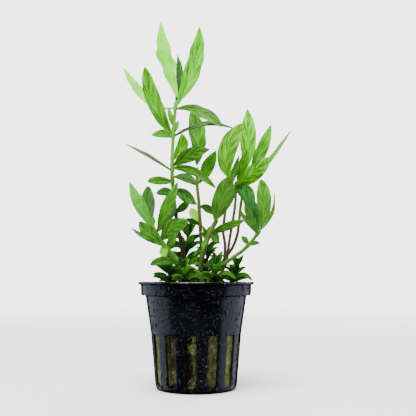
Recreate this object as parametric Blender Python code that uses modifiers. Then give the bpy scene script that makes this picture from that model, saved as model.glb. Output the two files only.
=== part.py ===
"""Dwarf hygrophila, an aquarium plant, in its slotted net pot with a plug of rock wool.

Units are metres and +Z is up. The origin is the centre of the pot's foot. The plant's front
is at -Y. Sizes below are written in millimetres and multiplied by MM.
"""

import math
from dataclasses import dataclass

import bmesh
import bpy
from mathutils import Matrix, Vector, noise

MM = 0.001
GAP = 0.3 * MM

# Pot: radii are of the outer side
POT_HEIGHT = 51.0 * MM
POT_WALL = 1.0 * MM
FLANGE_RADIUS = 27.7 * MM
FLANGE_THICKNESS = 1.2 * MM
BAND_RADIUS = 26.4 * MM
BAND_BOTTOM = 44.7 * MM
SHOULDER_RADIUS = 24.2 * MM
SLOT_TOP = 26.8 * MM
SLOT_TOP_RADIUS = 21.6 * MM
FOOT_RADIUS = 19.4 * MM
FOOT_ROUNDING = 1.8 * MM
FLOOR_THICKNESS = 1.2 * MM
POT_FACETS = 39

# Slots in the wall, and small drain slots in the floor
SLOT_COUNT = 13
SLOT_BOTTOM = 2.4 * MM
SLOT_WIDTH_TOP = 5.5 * MM
SLOT_WIDTH_BOTTOM = 4.5 * MM
SLOT_CORNER = 0.7 * MM
FIRST_SLOT_BEARING = -95.6
DRAIN_COUNT = 6
DRAIN_WIDTH = 2.6 * MM
DRAIN_INNER = 7.5 * MM
DRAIN_OUTER = 14.5 * MM

# Rock wool
WOOL_TOP = 42.0 * MM
WOOL_FACETS = 16
WOOL_ROUGHNESS = 0.9 * MM
STEM_DEPTH_IN_WOOL = 6.0 * MM

# Leaves and stems; the sprigs' radius is in millimetres, as every stem's is
LEAF_THICKNESS = 0.35 * MM
PETIOLE_WIDTH = 1.1 * MM
LEAF_STEPS = 5
SMALL_LEAF_STEPS = 3
SPRIG_RADIUS = 0.65

# Widths and heights on the plant were taken on the plane through the pot's axis, as seen from
# this point, so a point in front of or behind that plane is moved along the line of sight.
EYE = Vector((5.7, -330.0, 53.8)) * MM

FRONT = Vector((0.0, -1.0, 0.0))

# Finishes: colour, roughness, metallic
FINISHES = {
    "black_plastic": ((0.010, 0.011, 0.013), 0.30, 0.0),
    "rock_wool": ((0.200, 0.190, 0.055), 0.95, 0.0),
    "young_leaf": ((0.250, 0.560, 0.110), 0.45, 0.0),
    "grown_leaf": ((0.095, 0.330, 0.035), 0.42, 0.0),
    "old_leaf": ((0.030, 0.130, 0.018), 0.40, 0.0),
    "green_stem": ((0.190, 0.360, 0.045), 0.45, 0.0),
    "brown_stem": ((0.095, 0.050, 0.022), 0.50, 0.0),
}


@dataclass(frozen=True)
class Leaf:
    """One leaf, measured in millimetres.

    node: height of its base on the stem, as seen from the eye.
    tip: across and up, as seen from the eye.
    depth: how far the tip lies behind the pot's axis.
    arch: rise of the blade's middle over the straight line from base to tip.
    sway: shift of the blade's middle to the right, seen from the front.
    turn: roll about its length, in degrees; 0 shows the full width to the front.
    fold: rise of the margins over the midrib, on the side that faces the front.
    """

    name: str
    node: float
    tip: tuple
    depth: float
    width: float
    arch: float = 0.0
    sway: float = 0.0
    turn: float = 20.0
    fold: float = 0.25
    finish: str = "grown_leaf"


@dataclass(frozen=True)
class Stem:
    """One stem with its leaves; the route runs from the foot to the top, in millimetres."""

    name: str
    foot: tuple
    route: tuple
    foot_radius: float
    top_radius: float
    finish: str
    leaves: tuple = ()
    sprouts: tuple = ()


@dataclass(frozen=True)
class Sprig:
    """One short shoot at the foot of the plant, with pairs of small leaves fused to it."""

    name: str
    foot: tuple
    top: tuple
    bearing: float
    pairs: int
    leaf_length: float
    finish: str


TALL_STEM = Stem(
    "tall_stem", (-4.5, 2.0),
    ((-4.8, 51.8, 2.0), (-6.7, 66.2, 2.0), (-9.6, 82.6, 2.0), (-11.3, 98.4, 1.5),
     (-11.5, 107.0, 1.0), (-11.0, 121.4, 0.5), (-10.1, 133.4, 0.0), (-9.7, 138.0, 0.0)),
    1.1, 0.75, "green_stem",
    leaves=(
        Leaf("tall_leaf_top_left", 140.0, (-17.0, 176.2), 11.0, 7.4, 0.0, -1.4, 15.0,
             finish="young_leaf"),
        Leaf("tall_leaf_top_right", 136.0, (1.7, 174.0), -11.0, 8.7, 0.0, 2.9, -15.0,
             finish="young_leaf"),
        Leaf("tall_leaf_top_back", 137.0, (-9.0, 160.3), 15.0, 6.0, 0.0, 1.2, 50.0,
             finish="old_leaf"),
        Leaf("tall_leaf_second_far_left", 134.5, (-35.0, 154.0), 9.0, 7.0, -7.0, 0.0, 45.0,
             finish="young_leaf"),
        Leaf("tall_leaf_second_right", 134.0, (12.5, 125.3), -12.0, 6.2, 3.0, 0.0, -20.0),
        Leaf("tall_leaf_third_left", 122.4, (-24.7, 154.3), -11.0, 7.8, -1.0, -2.0, 18.0,
             finish="young_leaf"),
        Leaf("tall_leaf_third_right", 121.4, (19.2, 124.1), 3.0, 8.0, 3.4, 0.0, -64.0,
             finish="old_leaf"),
        Leaf("tall_leaf_third_back", 120.5, (-21.6, 121.4), 12.0, 5.0, 1.0, 0.0, 20.0,
             finish="young_leaf"),
        Leaf("tall_leaf_fourth_inner", 110.5, (-7.2, 122.4), 5.0, 6.0, 0.0, 2.0, 10.0,
             finish="young_leaf"),
        Leaf("tall_leaf_fourth_right", 107.0, (6.7, 114.7), -13.0, 6.5, 1.5, 0.0, 15.0,
             finish="old_leaf"),
        Leaf("tall_leaf_fourth_left", 105.0, (-33.6, 117.1), -8.0, 6.0, 0.0, 0.0, 70.0),
        Leaf("tall_leaf_fourth_strap", 105.5, (9.6, 96.0), -15.0, 4.2, 3.0, 0.0, 25.0),
        Leaf("tall_leaf_fifth_left", 99.2, (-23.5, 99.0), -12.0, 4.8, 0.2, 0.0, 20.0),
        Leaf("tall_leaf_fifth_right", 101.5, (0.5, 97.0), 14.0, 4.6, 2.0, 0.0, 20.0),
        Leaf("tall_leaf_sixth_left", 93.0, (-19.0, 93.8), 13.0, 5.0, 0.8, 0.0, 20.0,
             finish="old_leaf"),
        Leaf("tall_leaf_sixth_right", 94.5, (0.5, 87.8), -11.0, 6.0, 1.0, 0.0, 20.0,
             finish="old_leaf"),
    ),
    sprouts=(
        Leaf("axil_left", 124.8, (-13.6, 134.9), -1.0, 2.6),
        Leaf("axil_right", 121.9, (-8.4, 128.6), 0.0, 2.4),
        Leaf("low_right", 84.0, (-2.9, 90.2), -5.0, 4.0),
    ))

CENTRE_STEM = Stem(
    "centre_stem", (2.4, 7.0),
    ((2.4, 66.2, 7.0), (2.2, 73.4, 7.0), (1.2, 90.2, 7.0), (0.5, 97.4, 7.0),
     (0.5, 106.0, 7.0)),
    0.95, 0.8, "brown_stem",
    leaves=(
        Leaf("centre_leaf_top", 107.6, (-2.4, 133.0), 16.0, 8.4, 0.0, 2.0, -10.0),
        Leaf("centre_leaf_upper_right", 99.0, (9.6, 114.2), 3.0, 6.5, 0.0, 0.0, 15.0,
             finish="old_leaf"),
        Leaf("centre_leaf_low_left", 79.7, (-2.6, 86.4), 15.0, 4.8, 0.0, 0.0, 10.0,
             finish="young_leaf"),
        Leaf("centre_leaf_low_right", 87.0, (9.1, 83.0), 4.0, 4.2, 1.0, 0.0, 15.0,
             finish="old_leaf"),
    ),
    sprouts=(Leaf("arc_left", 77.8, (-6.2, 80.6), 4.0, 2.6, 1.0),))

FRONT_STEM = Stem(
    "front_stem", (1.0, -5.0),
    ((1.9, 56.6, -5.5), (3.4, 64.8, -6.0), (5.3, 71.0, -6.5), (7.7, 76.8, -7.0),
     (10.1, 81.0, -7.5)),
    1.3, 1.1, "green_stem",
    leaves=(
        Leaf("front_leaf_top", 81.0, (16.3, 101.8), -18.0, 9.5, 0.0, 0.2, 5.0, fold=-0.15),
        Leaf("front_leaf_right", 75.5, (23.0, 80.6), -17.0, 4.2, 0.4, 0.0, 25.0),
        Leaf("front_leaf_down", 74.5, (11.0, 69.6), -12.0, 4.6, 0.5, 0.0, 20.0,
             finish="old_leaf"),
    ),
    sprouts=(Leaf("strip_down", 73.0, (3.0, 66.0), -10.0, 2.4, 1.0),))

RIGHT_FRONT_STEM = Stem(
    "right_front_stem", (11.0, 4.0),
    ((11.5, 51.8, 4.0), (13.4, 60.5, 4.0), (13.9, 68.6, 4.0), (13.0, 75.4, 4.0),
     (14.4, 87.8, 3.5), (15.2, 95.0, 3.0), (15.4, 101.0, 3.0)),
    0.75, 0.7, "brown_stem",
    leaves=(
        Leaf("right_leaf_curved", 101.6, (22.6, 127.2), -12.0, 9.0, 0.0, -4.0, 10.0,
             finish="young_leaf"),
    ),
    sprouts=(Leaf("strip_up", 93.5, (20.6, 111.8), 7.0, 3.2),))

RIGHT_MIDDLE_STEM = Stem(
    "right_middle_stem", (9.0, 9.5),
    ((10.5, 51.0, 9.5), (14.4, 60.5, 9.5), (15.8, 69.6, 9.5), (16.8, 75.8, 9.5),
     (18.7, 87.8, 9.0), (19.2, 99.4, 8.0)),
    0.75, 0.7, "brown_stem",
    leaves=(
        Leaf("right_leaf_low_broad", 97.5, (35.0, 110.9), -6.0, 8.4, 0.0, 0.8, 20.0,
             finish="young_leaf"),
        Leaf("right_leaf_inner", 99.0, (24.5, 115.2), 1.0, 5.2, 0.0, 0.0, 20.0,
             finish="old_leaf"),
        Leaf("right_leaf_down", 96.0, (28.3, 90.2), -5.0, 7.0, 1.0, 0.0, 15.0,
             finish="old_leaf"),
    ))

RIGHT_BACK_STEM = Stem(
    "right_back_stem", (5.5, 13.0),
    ((7.7, 52.8, 13.0), (12.5, 60.5, 13.5), (17.3, 67.2, 14.0), (19.7, 73.4, 14.0),
     (20.6, 79.7, 14.0), (21.4, 87.4, 14.0), (22.6, 95.0, 14.0), (24.5, 104.0, 14.0)),
    0.8, 0.75, "brown_stem",
    leaves=(
        Leaf("right_leaf_tall", 104.0, (24.5, 134.4), 20.0, 8.3, 0.0, 1.2, 0.0,
             finish="young_leaf"),
        Leaf("right_leaf_slanted", 103.0, (36.0, 126.7), 14.0, 6.4, 0.0, 0.6, 15.0,
             finish="young_leaf"),
        Leaf("right_leaf_far", 97.0, (45.6, 123.8), 22.0, 7.0, 0.0, 0.0, 72.0),
    ))

RIGHT_SHOOT = Stem(
    "right_shoot", (6.0, -6.0),
    ((7.7, 53.8, -6.0), (12.5, 58.6, -6.5), (17.3, 62.4, -7.0), (22.6, 66.2, -7.5),
     (25.9, 69.6, -8.0), (30.2, 75.0, -8.5), (30.9, 76.3, -8.5)),
    1.0, 0.8, "green_stem",
    leaves=(
        Leaf("right_shoot_leaf_left", 76.0, (22.6, 97.0), -18.0, 6.0, 0.0, 0.0, 10.0,
             finish="grown_leaf"),
        Leaf("right_shoot_leaf_up", 77.0, (31.2, 100.3), -2.0, 7.4, 0.0, 1.2, 0.0,
             finish="young_leaf"),
        Leaf("right_shoot_leaf_outer", 75.0, (37.4, 94.1), 5.0, 6.0, 0.0, 2.4, 72.0),
        Leaf("right_shoot_leaf_strap", 74.5, (23.0, 87.4), -22.0, 4.2, 0.0, 0.0, 20.0,
             finish="old_leaf"),
        Leaf("right_shoot_leaf_thin", 74.0, (21.0, 86.0), -1.0, 4.0, 0.0, -1.0, 50.0,
             finish="old_leaf"),
    ),
    sprouts=(
        Leaf("node_left", 69.0, (21.6, 73.0), -9.0, 3.0),
        Leaf("node_right", 68.5, (30.7, 69.4), -9.0, 2.4, 0.8),
    ))

LEFT_SHOOT = Stem(
    "left_shoot", (4.0, -10.0),
    ((1.4, 54.2, -10.0), (-5.3, 59.0, -10.5), (-9.1, 61.4, -11.0), (-12.5, 65.3, -11.0),
     (-16.3, 69.6, -11.0), (-19.7, 75.0, -11.0), (-21.6, 78.0, -11.0)),
    1.5, 1.0, "green_stem",
    leaves=(
        Leaf("left_shoot_leaf_far_left", 76.8, (-32.2, 99.4), -20.0, 5.6, 0.0, -1.0, 15.0,
             finish="young_leaf"),
        Leaf("left_shoot_leaf_back_left", 73.5, (-28.3, 95.0), 4.0, 3.8, 0.0, -1.0, 60.0,
             finish="young_leaf"),
        Leaf("left_shoot_leaf_centre", 78.6, (-23.0, 97.0), 1.0, 6.6, 0.0, -0.6, 10.0,
             finish="old_leaf"),
        Leaf("left_shoot_leaf_long_right", 75.0, (-8.6, 99.4), -21.0, 5.6, 0.0, -0.3, 20.0,
             finish="young_leaf"),
        Leaf("left_shoot_leaf_back_right", 75.0, (-10.6, 91.7), -3.0, 5.8, 0.0, 1.0, 15.0),
        Leaf("left_shoot_leaf_second_left", 70.5, (-27.4, 80.0), -18.0, 6.2, 0.0, -0.8, 15.0),
        Leaf("left_shoot_leaf_pale_left", 69.5, (-31.2, 76.8), -5.0, 4.6, -1.0, 0.0, 60.0,
             finish="young_leaf"),
        Leaf("left_shoot_leaf_broad_right", 71.0, (-3.8, 80.2), -23.0, 7.2, 2.0, 0.0, 15.0),
        Leaf("left_shoot_leaf_low_left", 61.0, (-22.1, 59.0), -21.0, 4.6, 1.4, 0.0, 25.0),
    ),
    sprouts=(
        Leaf("apex", 77.0, (-20.6, 82.6), -12.0, 2.4),
        Leaf("inner_right", 67.5, (-9.6, 73.4), -9.0, 4.0),
        Leaf("hanging", 69.0, (-14.9, 62.4), -14.5, 4.4),
        Leaf("hanging_low", 60.5, (-6.2, 55.2), -14.0, 3.4),
    ))

STEMS = (TALL_STEM, CENTRE_STEM, FRONT_STEM, RIGHT_FRONT_STEM, RIGHT_MIDDLE_STEM,
         RIGHT_BACK_STEM, RIGHT_SHOOT, LEFT_SHOOT)

SPRIGS = (
    Sprig("sprig_left", (-11.0, -5.0), (-13.5, -6.0, 59.0), 15.0, 4, 9.5, "grown_leaf"),
    Sprig("sprig_front", (-4.0, -15.5), (-5.5, -18.0, 58.0), 25.0, 4, 7.6, "old_leaf"),
    Sprig("sprig_front_right", (8.5, -12.5), (10.0, -14.5, 60.0), 30.0, 4, 8.5, "old_leaf"),
    Sprig("sprig_right", (17.0, -3.0), (20.0, -3.0, 59.0), 15.0, 4, 8.0, "grown_leaf"),
    Sprig("sprig_back_left", (-7.0, 10.0), (-4.0, 12.0, 76.0), 40.0, 4, 11.0, "old_leaf"),
    Sprig("sprig_centre", (5.5, 1.0), (5.0, 1.5, 73.0), 45.0, 4, 8.0, "old_leaf"),
)


def clear_scene():
    """Remove every object of the scene."""
    for obj in list(bpy.data.objects):
        bpy.data.objects.remove(obj)


def make_collection(name):
    """Return a new collection linked to the scene."""
    collection = bpy.data.collections.new(name)
    bpy.context.scene.collection.children.link(collection)
    return collection


def make_finish(name):
    """Return the Principled material of one finish."""
    colour, roughness, metallic = FINISHES[name]
    material = bpy.data.materials.new(name)
    material.use_nodes = True
    shader = material.node_tree.nodes["Principled BSDF"]
    shader.inputs["Base Color"].default_value = (*colour, 1.0)
    shader.inputs["Roughness"].default_value = roughness
    shader.inputs["Metallic"].default_value = metallic
    material.diffuse_color = (*colour, 1.0)
    return material


def add_object(name, mesh, collection, material=None):
    """Link a mesh as a new object."""
    obj = bpy.data.objects.new(name, mesh)
    collection.objects.link(obj)
    if material is not None:
        mesh.materials.append(material)
    return obj


def as_cutter(obj):
    """Keep an object only as a guide for a cut."""
    obj.hide_render = True
    obj.display_type = "WIRE"
    return obj


def add_boolean(obj, cutter, operation):
    """Cut an object, or join another to it."""
    modifier = obj.modifiers.new(operation.lower(), "BOOLEAN")
    modifier.operation = operation
    modifier.solver = "EXACT"
    modifier.object = cutter
    return modifier


def baked_mesh(obj):
    """Return the object's evaluated mesh as a new mesh, and remove the object."""
    bpy.context.view_layer.update()
    graph = bpy.context.evaluated_depsgraph_get()
    mesh = bpy.data.meshes.new_from_object(obj.evaluated_get(graph))
    bpy.data.objects.remove(obj)
    return mesh


def weld(mesh):
    """Merge the points that lie on each other."""
    bm = bmesh.new()
    bm.from_mesh(mesh)
    bmesh.ops.remove_doubles(bm, verts=bm.verts, dist=0.00002)
    bm.to_mesh(mesh)
    bm.free()


# Pot

def wall_radius(height):
    """Return the outer radius of the pot's tapered wall at a height."""
    if height > SLOT_TOP:
        share = (height - SLOT_TOP) / (BAND_BOTTOM - SLOT_TOP)
        return SLOT_TOP_RADIUS + share * (SHOULDER_RADIUS - SLOT_TOP_RADIUS)
    share = height / SLOT_TOP
    return FOOT_RADIUS + share * (SLOT_TOP_RADIUS - FOOT_RADIUS)


def rounded_corner(radius, rounding, height, steps):
    """Return the points of a quarter round from a wall down to a floor."""
    points = []
    for step in range(steps + 1):
        angle = 0.5 * math.pi * step / steps
        across = radius - rounding + rounding * math.cos(angle)
        points.append((across, height + rounding - rounding * math.sin(angle)))
    return points


def pot_profile():
    """Return the pot's half section, from the inner floor over the rim to the foot."""
    inner = rounded_corner(wall_radius(FLOOR_THICKNESS) - POT_WALL, 1.0 * MM,
                           FLOOR_THICKNESS, 1)
    inner.reverse()
    ledge = BAND_BOTTOM - POT_WALL
    rim_inner = BAND_RADIUS - POT_WALL
    section = [(0.0, FLOOR_THICKNESS)] + inner
    section += [
        (SLOT_TOP_RADIUS - POT_WALL, SLOT_TOP),
        (wall_radius(ledge) - POT_WALL, ledge),
        (rim_inner, BAND_BOTTOM + 0.3 * MM),
        (rim_inner, POT_HEIGHT),
        (FLANGE_RADIUS - 0.4 * MM, POT_HEIGHT),
        (FLANGE_RADIUS, POT_HEIGHT - 0.5 * FLANGE_THICKNESS),
        (FLANGE_RADIUS - 0.3 * MM, POT_HEIGHT - FLANGE_THICKNESS),
        (BAND_RADIUS, POT_HEIGHT - FLANGE_THICKNESS - 0.2 * MM),
        (BAND_RADIUS - 0.2 * MM, BAND_BOTTOM),
        (SHOULDER_RADIUS, BAND_BOTTOM - 0.2 * MM),
        (SLOT_TOP_RADIUS, SLOT_TOP),
    ]
    section += rounded_corner(FOOT_RADIUS, FOOT_ROUNDING, 0.0, 2)
    section.append((0.0, 0.0))
    return section


def turned(name, profile, facets, collection, material):
    """Return a body turned about Z from its half section."""
    mesh = bpy.data.meshes.new(name)
    points = [(x, 0.0, z) for x, z in profile]
    edges = [(i, i + 1) for i in range(len(points) - 1)]
    mesh.from_pydata(points, edges, [])
    obj = add_object(name, mesh, collection, material)
    screw = obj.modifiers.new("turn", "SCREW")
    screw.axis = "Z"
    screw.steps = facets
    screw.render_steps = facets
    screw.use_merge_vertices = True
    screw.merge_threshold = 0.00002
    return obj


def slot_cutters(collection):
    """Return one mesh of tapered blocks that cut the slots of the wall."""
    bm = bmesh.new()
    height = SLOT_TOP - SLOT_BOTTOM
    middle = 0.5 * (SLOT_TOP + SLOT_BOTTOM)
    for index in range(SLOT_COUNT):
        bearing = math.radians(FIRST_SLOT_BEARING + index * 360.0 / SLOT_COUNT)
        made = bmesh.ops.create_cube(bm, size=1.0)["verts"]
        for vert in made:
            width = SLOT_WIDTH_TOP if vert.co.z > 0 else SLOT_WIDTH_BOTTOM
            vert.co = Vector((20.0 * MM + vert.co.x * 8.0 * MM, vert.co.y * width,
                              middle + vert.co.z * height))
        lengthwise = [edge for edge in bm.edges
                      if edge.verts[0] in made and edge.verts[1] in made
                      and abs(edge.verts[0].co.x - edge.verts[1].co.x) > 1.0 * MM]
        rounded = bmesh.ops.bevel(bm, geom=lengthwise, offset=SLOT_CORNER, segments=1,
                                  profile=0.5, affect="EDGES")
        block = set(rounded["verts"])
        bmesh.ops.rotate(bm, verts=list(block), cent=(0.0, 0.0, 0.0),
                         matrix=Matrix.Rotation(bearing, 3, "Z"))
    mesh = bpy.data.meshes.new("slot_cutters")
    bm.to_mesh(mesh)
    bm.free()
    return as_cutter(add_object("slot_cutters", mesh, collection))


def drain_cutters(collection):
    """Return one mesh of blocks that cut the drain slots of the floor."""
    bm = bmesh.new()
    for index in range(DRAIN_COUNT):
        bearing = 2.0 * math.pi * (index + 0.5) / DRAIN_COUNT
        made = bmesh.ops.create_cube(bm, size=1.0)["verts"]
        length = DRAIN_OUTER - DRAIN_INNER
        for vert in made:
            vert.co = Vector((DRAIN_INNER + (vert.co.x + 0.5) * length,
                              vert.co.y * DRAIN_WIDTH, vert.co.z * 4.0 * MM))
        bmesh.ops.rotate(bm, verts=made, cent=(0.0, 0.0, 0.0),
                         matrix=Matrix.Rotation(bearing, 3, "Z"))
    mesh = bpy.data.meshes.new("drain_cutters")
    bm.to_mesh(mesh)
    bm.free()
    return as_cutter(add_object("drain_cutters", mesh, collection))


def make_pot(parts, cutters, material):
    """Build the net pot with its wall slots and drain slots."""
    pot = turned("net_pot", pot_profile(), POT_FACETS, parts, material)
    add_boolean(pot, slot_cutters(cutters), "DIFFERENCE")
    add_boolean(pot, drain_cutters(cutters), "DIFFERENCE")
    return pot


# Rock wool

def make_wool(parts, cutters, material):
    """Build the plug of rock wool, lumpy at its side, with a hole for each stem."""
    clear = POT_WALL + GAP + 0.1 * MM
    bottom = FLOOR_THICKNESS + GAP + 0.1 * MM
    rings = 5
    profile = [(0.0, WOOL_TOP), (0.6 * wall_radius(WOOL_TOP), WOOL_TOP)]
    for ring in range(rings):
        height = WOOL_TOP - 1.0 * MM - (WOOL_TOP - bottom - 2.0 * MM) * ring / (rings - 1)
        profile.append((wall_radius(height) - clear, height))
    profile += [(wall_radius(bottom) - clear - 1.0 * MM, bottom), (0.0, bottom)]
    plug = turned("rock_wool", profile, WOOL_FACETS, parts, material)
    mesh = baked_mesh(plug)
    for vert in mesh.vertices:
        side = Vector((vert.co.x, vert.co.y, 0.0))
        if side.length > 0.7 * FOOT_RADIUS:
            lump = 0.5 + 0.5 * noise.noise(vert.co * 180.0)
            vert.co -= side.normalized() * WOOL_ROUGHNESS * max(0.0, lump)
    plug = add_object("rock_wool", mesh, parts)
    feet = [(stem.foot, stem.foot_radius) for stem in STEMS]
    feet += [(sprig.foot, SPRIG_RADIUS) for sprig in SPRIGS]
    bm = bmesh.new()
    depth = STEM_DEPTH_IN_WOOL + 0.5 * MM
    for (x, y), radius in feet:
        centre = Vector((x * MM, y * MM, WOOL_TOP - depth + 5.0 * MM))
        bmesh.ops.create_cone(bm, cap_ends=True, segments=6, radius1=radius * MM + 0.6 * MM,
                              radius2=radius * MM + 0.6 * MM, depth=10.0 * MM,
                              matrix=Matrix.Translation(centre))
    holes = bpy.data.meshes.new("stem_holes")
    bm.to_mesh(holes)
    bm.free()
    add_boolean(plug, as_cutter(add_object("stem_holes", holes, cutters)), "DIFFERENCE")
    return plug


# Stems and leaves

def seen_point(across, up, depth):
    """Return the point at a depth that the eye sees at (across, up) on the axis plane."""
    plane = Vector((across, 0.0, up)) * MM
    share = (depth * MM - EYE.y) / (0.0 - EYE.y)
    return EYE + (plane - EYE) * share


def stem_route(stem):
    """Return a stem's points from its foot in the wool to its top."""
    x, y = stem.foot
    low = WOOL_TOP - STEM_DEPTH_IN_WOOL
    points = [Vector((x * MM, y * MM, low)), Vector((x * MM, y * MM, WOOL_TOP + 1.0 * MM))]
    points += [seen_point(*place) for place in stem.route]
    return points


def stem_radius(stem, share):
    """Return the stem's radius at a share of its length."""
    return (stem.foot_radius + (stem.top_radius - stem.foot_radius) * share) * MM


def stem_at(stem, node):
    """Return the stem's centre, direction and radius where it is seen at a height."""
    points = stem_route(stem)
    heights = [WOOL_TOP / MM - STEM_DEPTH_IN_WOOL / MM, WOOL_TOP / MM + 1.0]
    heights += [place[1] for place in stem.route]
    for i in range(len(points) - 1):
        if heights[i] <= node <= heights[i + 1] or i == len(points) - 2:
            share = (node - heights[i]) / (heights[i + 1] - heights[i])
            share = max(0.0, min(1.0, share))
            centre = points[i].lerp(points[i + 1], share)
            direction = (points[i + 1] - points[i]).normalized()
            along = (i + share) / (len(points) - 1)
            return centre, direction, stem_radius(stem, along)
    raise ValueError(stem.name)


def tube_mesh(name, points, radii, collection):
    """Return the mesh of a round stem along its points."""
    curve = bpy.data.curves.new(name, "CURVE")
    curve.dimensions = "3D"
    curve.bevel_depth = 1.0
    curve.bevel_resolution = 2
    curve.use_fill_caps = True
    spline = curve.splines.new("POLY")
    spline.points.add(len(points) - 1)
    for point, place, radius in zip(spline.points, points, radii):
        point.co = (*place, 1.0)
        point.radius = radius
    obj = bpy.data.objects.new(name, curve)
    collection.objects.link(obj)
    mesh = baked_mesh(obj)
    weld(mesh)
    mesh.name = name
    return mesh


def blade_half_width(share, width):
    """Return half the blade's width at a share of its length: a stalk, then a lance shape."""
    stalk = 0.5 * PETIOLE_WIDTH
    widest = 0.52
    lance = (share / widest) ** 1.1 * ((1.0 - share) / (1.0 - widest)) ** 1.015
    bare = stalk * (1.0 - share) * min(1.0, 4.0 * (1.0 - share))
    return max(bare, 0.5 * width * lance)


def blade_axes(chord, turn):
    """Return the directions across the blade and out of its front side."""
    ahead = chord.normalized()
    across = ahead.cross(FRONT)
    across = (across - ahead * across.dot(ahead)).normalized()
    across = Matrix.Rotation(math.radians(turn), 3, ahead) @ across
    return across, across.cross(ahead)


def blade_mesh(name, base, tip, leaf, steps):
    """Return an open blade from base to tip, bent along its midrib and folded along it."""
    chord = tip - base
    across, facing = blade_axes(chord, leaf.turn)
    upright = Vector((0.0, 0.0, 1.0))
    middle = 0.5 * chord + 2.0 * MM * (leaf.arch * upright + Vector((leaf.sway, 0.0, 0.0)))
    bm = bmesh.new()
    bmesh.ops.create_grid(bm, x_segments=steps, y_segments=2, size=1.0)
    for vert in bm.verts:
        share = 0.5 * (vert.co.x + 1.0)
        side = vert.co.y
        spine = 2.0 * share * (1.0 - share) * middle + share * share * chord
        ahead = ((1.0 - 2.0 * share) * 2.0 * middle + 2.0 * share * chord).normalized()
        level = (across - ahead * across.dot(ahead)).normalized()
        out = level.cross(ahead)
        half = blade_half_width(share, leaf.width * MM) if share < 0.999 else 0.0
        vert.co = spine + level * side * half + out * leaf.fold * abs(side) * half
    bmesh.ops.remove_doubles(bm, verts=bm.verts, dist=0.00002)
    mesh = bpy.data.meshes.new(name)
    bm.to_mesh(mesh)
    bm.free()
    return mesh


def thicken(obj):
    """Give a blade its thickness."""
    solid = obj.modifiers.new("thickness", "SOLIDIFY")
    solid.thickness = LEAF_THICKNESS
    solid.offset = 0.0
    return obj


def leaf_base(stem, leaf, tip, clearance):
    """Return where a leaf starts, beside its stem on the side of its tip."""
    centre, direction, radius = stem_at(stem, leaf.node)
    above = (leaf.node - stem.route[-1][1]) * MM
    if above > 0.0:
        return centre + direction * (above + clearance)
    reach = tip - centre
    outward = reach - direction * reach.dot(direction)
    outward.normalize()
    across, facing = blade_axes(reach, leaf.turn)
    room = 0.5 * PETIOLE_WIDTH * abs(across.dot(outward))
    room += 0.5 * LEAF_THICKNESS * abs(facing.dot(outward))
    return centre + outward * (radius + room + clearance)


def make_leaf(stem, leaf, parts, finishes):
    """Build one leaf as a piece of its own, just clear of its stem."""
    tip = seen_point(*leaf.tip, leaf.depth)
    base = leaf_base(stem, leaf, tip, GAP)
    mesh = blade_mesh(leaf.name, base, tip, leaf, LEAF_STEPS)
    obj = add_object(leaf.name, mesh, parts, finishes[leaf.finish])
    obj.location = base
    return thicken(obj)


def join_sprouts(obj, sprouts, cutters):
    """Join small leaves, given as (mesh, place), to the stem that they grow from."""
    for mesh, place in sprouts:
        blade = as_cutter(add_object(mesh.name, mesh, cutters))
        blade.location = place
        thicken(blade)
        add_boolean(obj, blade, "UNION")
    return obj


def make_stem(stem, parts, cutters, finishes):
    """Build one stem, its small leaves fused to it, and its large leaves beside it."""
    points = stem_route(stem)
    last = len(points) - 1
    radii = [stem_radius(stem, i / last) for i in range(last + 1)]
    mesh = tube_mesh(stem.name, points, radii, parts)
    obj = add_object(stem.name, mesh, parts, finishes[stem.finish])
    sprouts = []
    for leaf in stem.sprouts:
        tip = seen_point(*leaf.tip, leaf.depth)
        centre = stem_at(stem, leaf.node)[0]
        name = f"{stem.name}_{leaf.name}"
        sprouts.append((blade_mesh(name, centre, tip, leaf, SMALL_LEAF_STEPS), centre))
    join_sprouts(obj, sprouts, cutters)
    for leaf in stem.leaves:
        make_leaf(stem, leaf, parts, finishes)
    return obj


def make_sprig(sprig, parts, cutters, finishes):
    """Build one short shoot with pairs of small leaves, each pair a quarter turn on."""
    x, y = sprig.foot
    low = WOOL_TOP - STEM_DEPTH_IN_WOOL
    top = Vector(sprig.top) * MM
    entry = Vector((x * MM, y * MM, WOOL_TOP + 1.0 * MM))
    points = [Vector((x * MM, y * MM, low)), entry]
    bend = Vector((entry.x, entry.y, 0.6 * entry.z + 0.4 * top.z))
    for share in (0.5, 1.0):
        lower = entry.lerp(bend, share)
        points.append(lower.lerp(bend.lerp(top, share), share))
    radii = [SPRIG_RADIUS * MM] * len(points)
    obj = add_object(sprig.name, tube_mesh(sprig.name, points, radii, parts), parts,
                     finishes[sprig.finish])
    sprouts = []
    for pair in range(sprig.pairs):
        share = 1.0 - 0.2 * pair
        lower = entry.lerp(bend, share)
        base = lower.lerp(bend.lerp(top, share), share)
        base.z -= 0.4 * MM
        lift = math.radians(62.0 - 20.0 * pair)
        length = sprig.leaf_length * (0.75 + 0.12 * pair) * MM
        for side in (0.0, 180.0):
            bearing = math.radians(sprig.bearing + 90.0 * pair + side)
            reach = Vector((math.cos(bearing) * math.cos(lift),
                            math.sin(bearing) * math.cos(lift), math.sin(lift)))
            leaf = Leaf("leaf", 0.0, (0.0, 0.0), 0.0, 0.42 * length / MM, 0.6, 0.0, 0.0)
            name = f"{sprig.name}_{pair}_{int(side)}"
            sprouts.append((blade_mesh(name, base, base + reach * length, leaf,
                                       SMALL_LEAF_STEPS), base))
    return join_sprouts(obj, sprouts, cutters)


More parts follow.
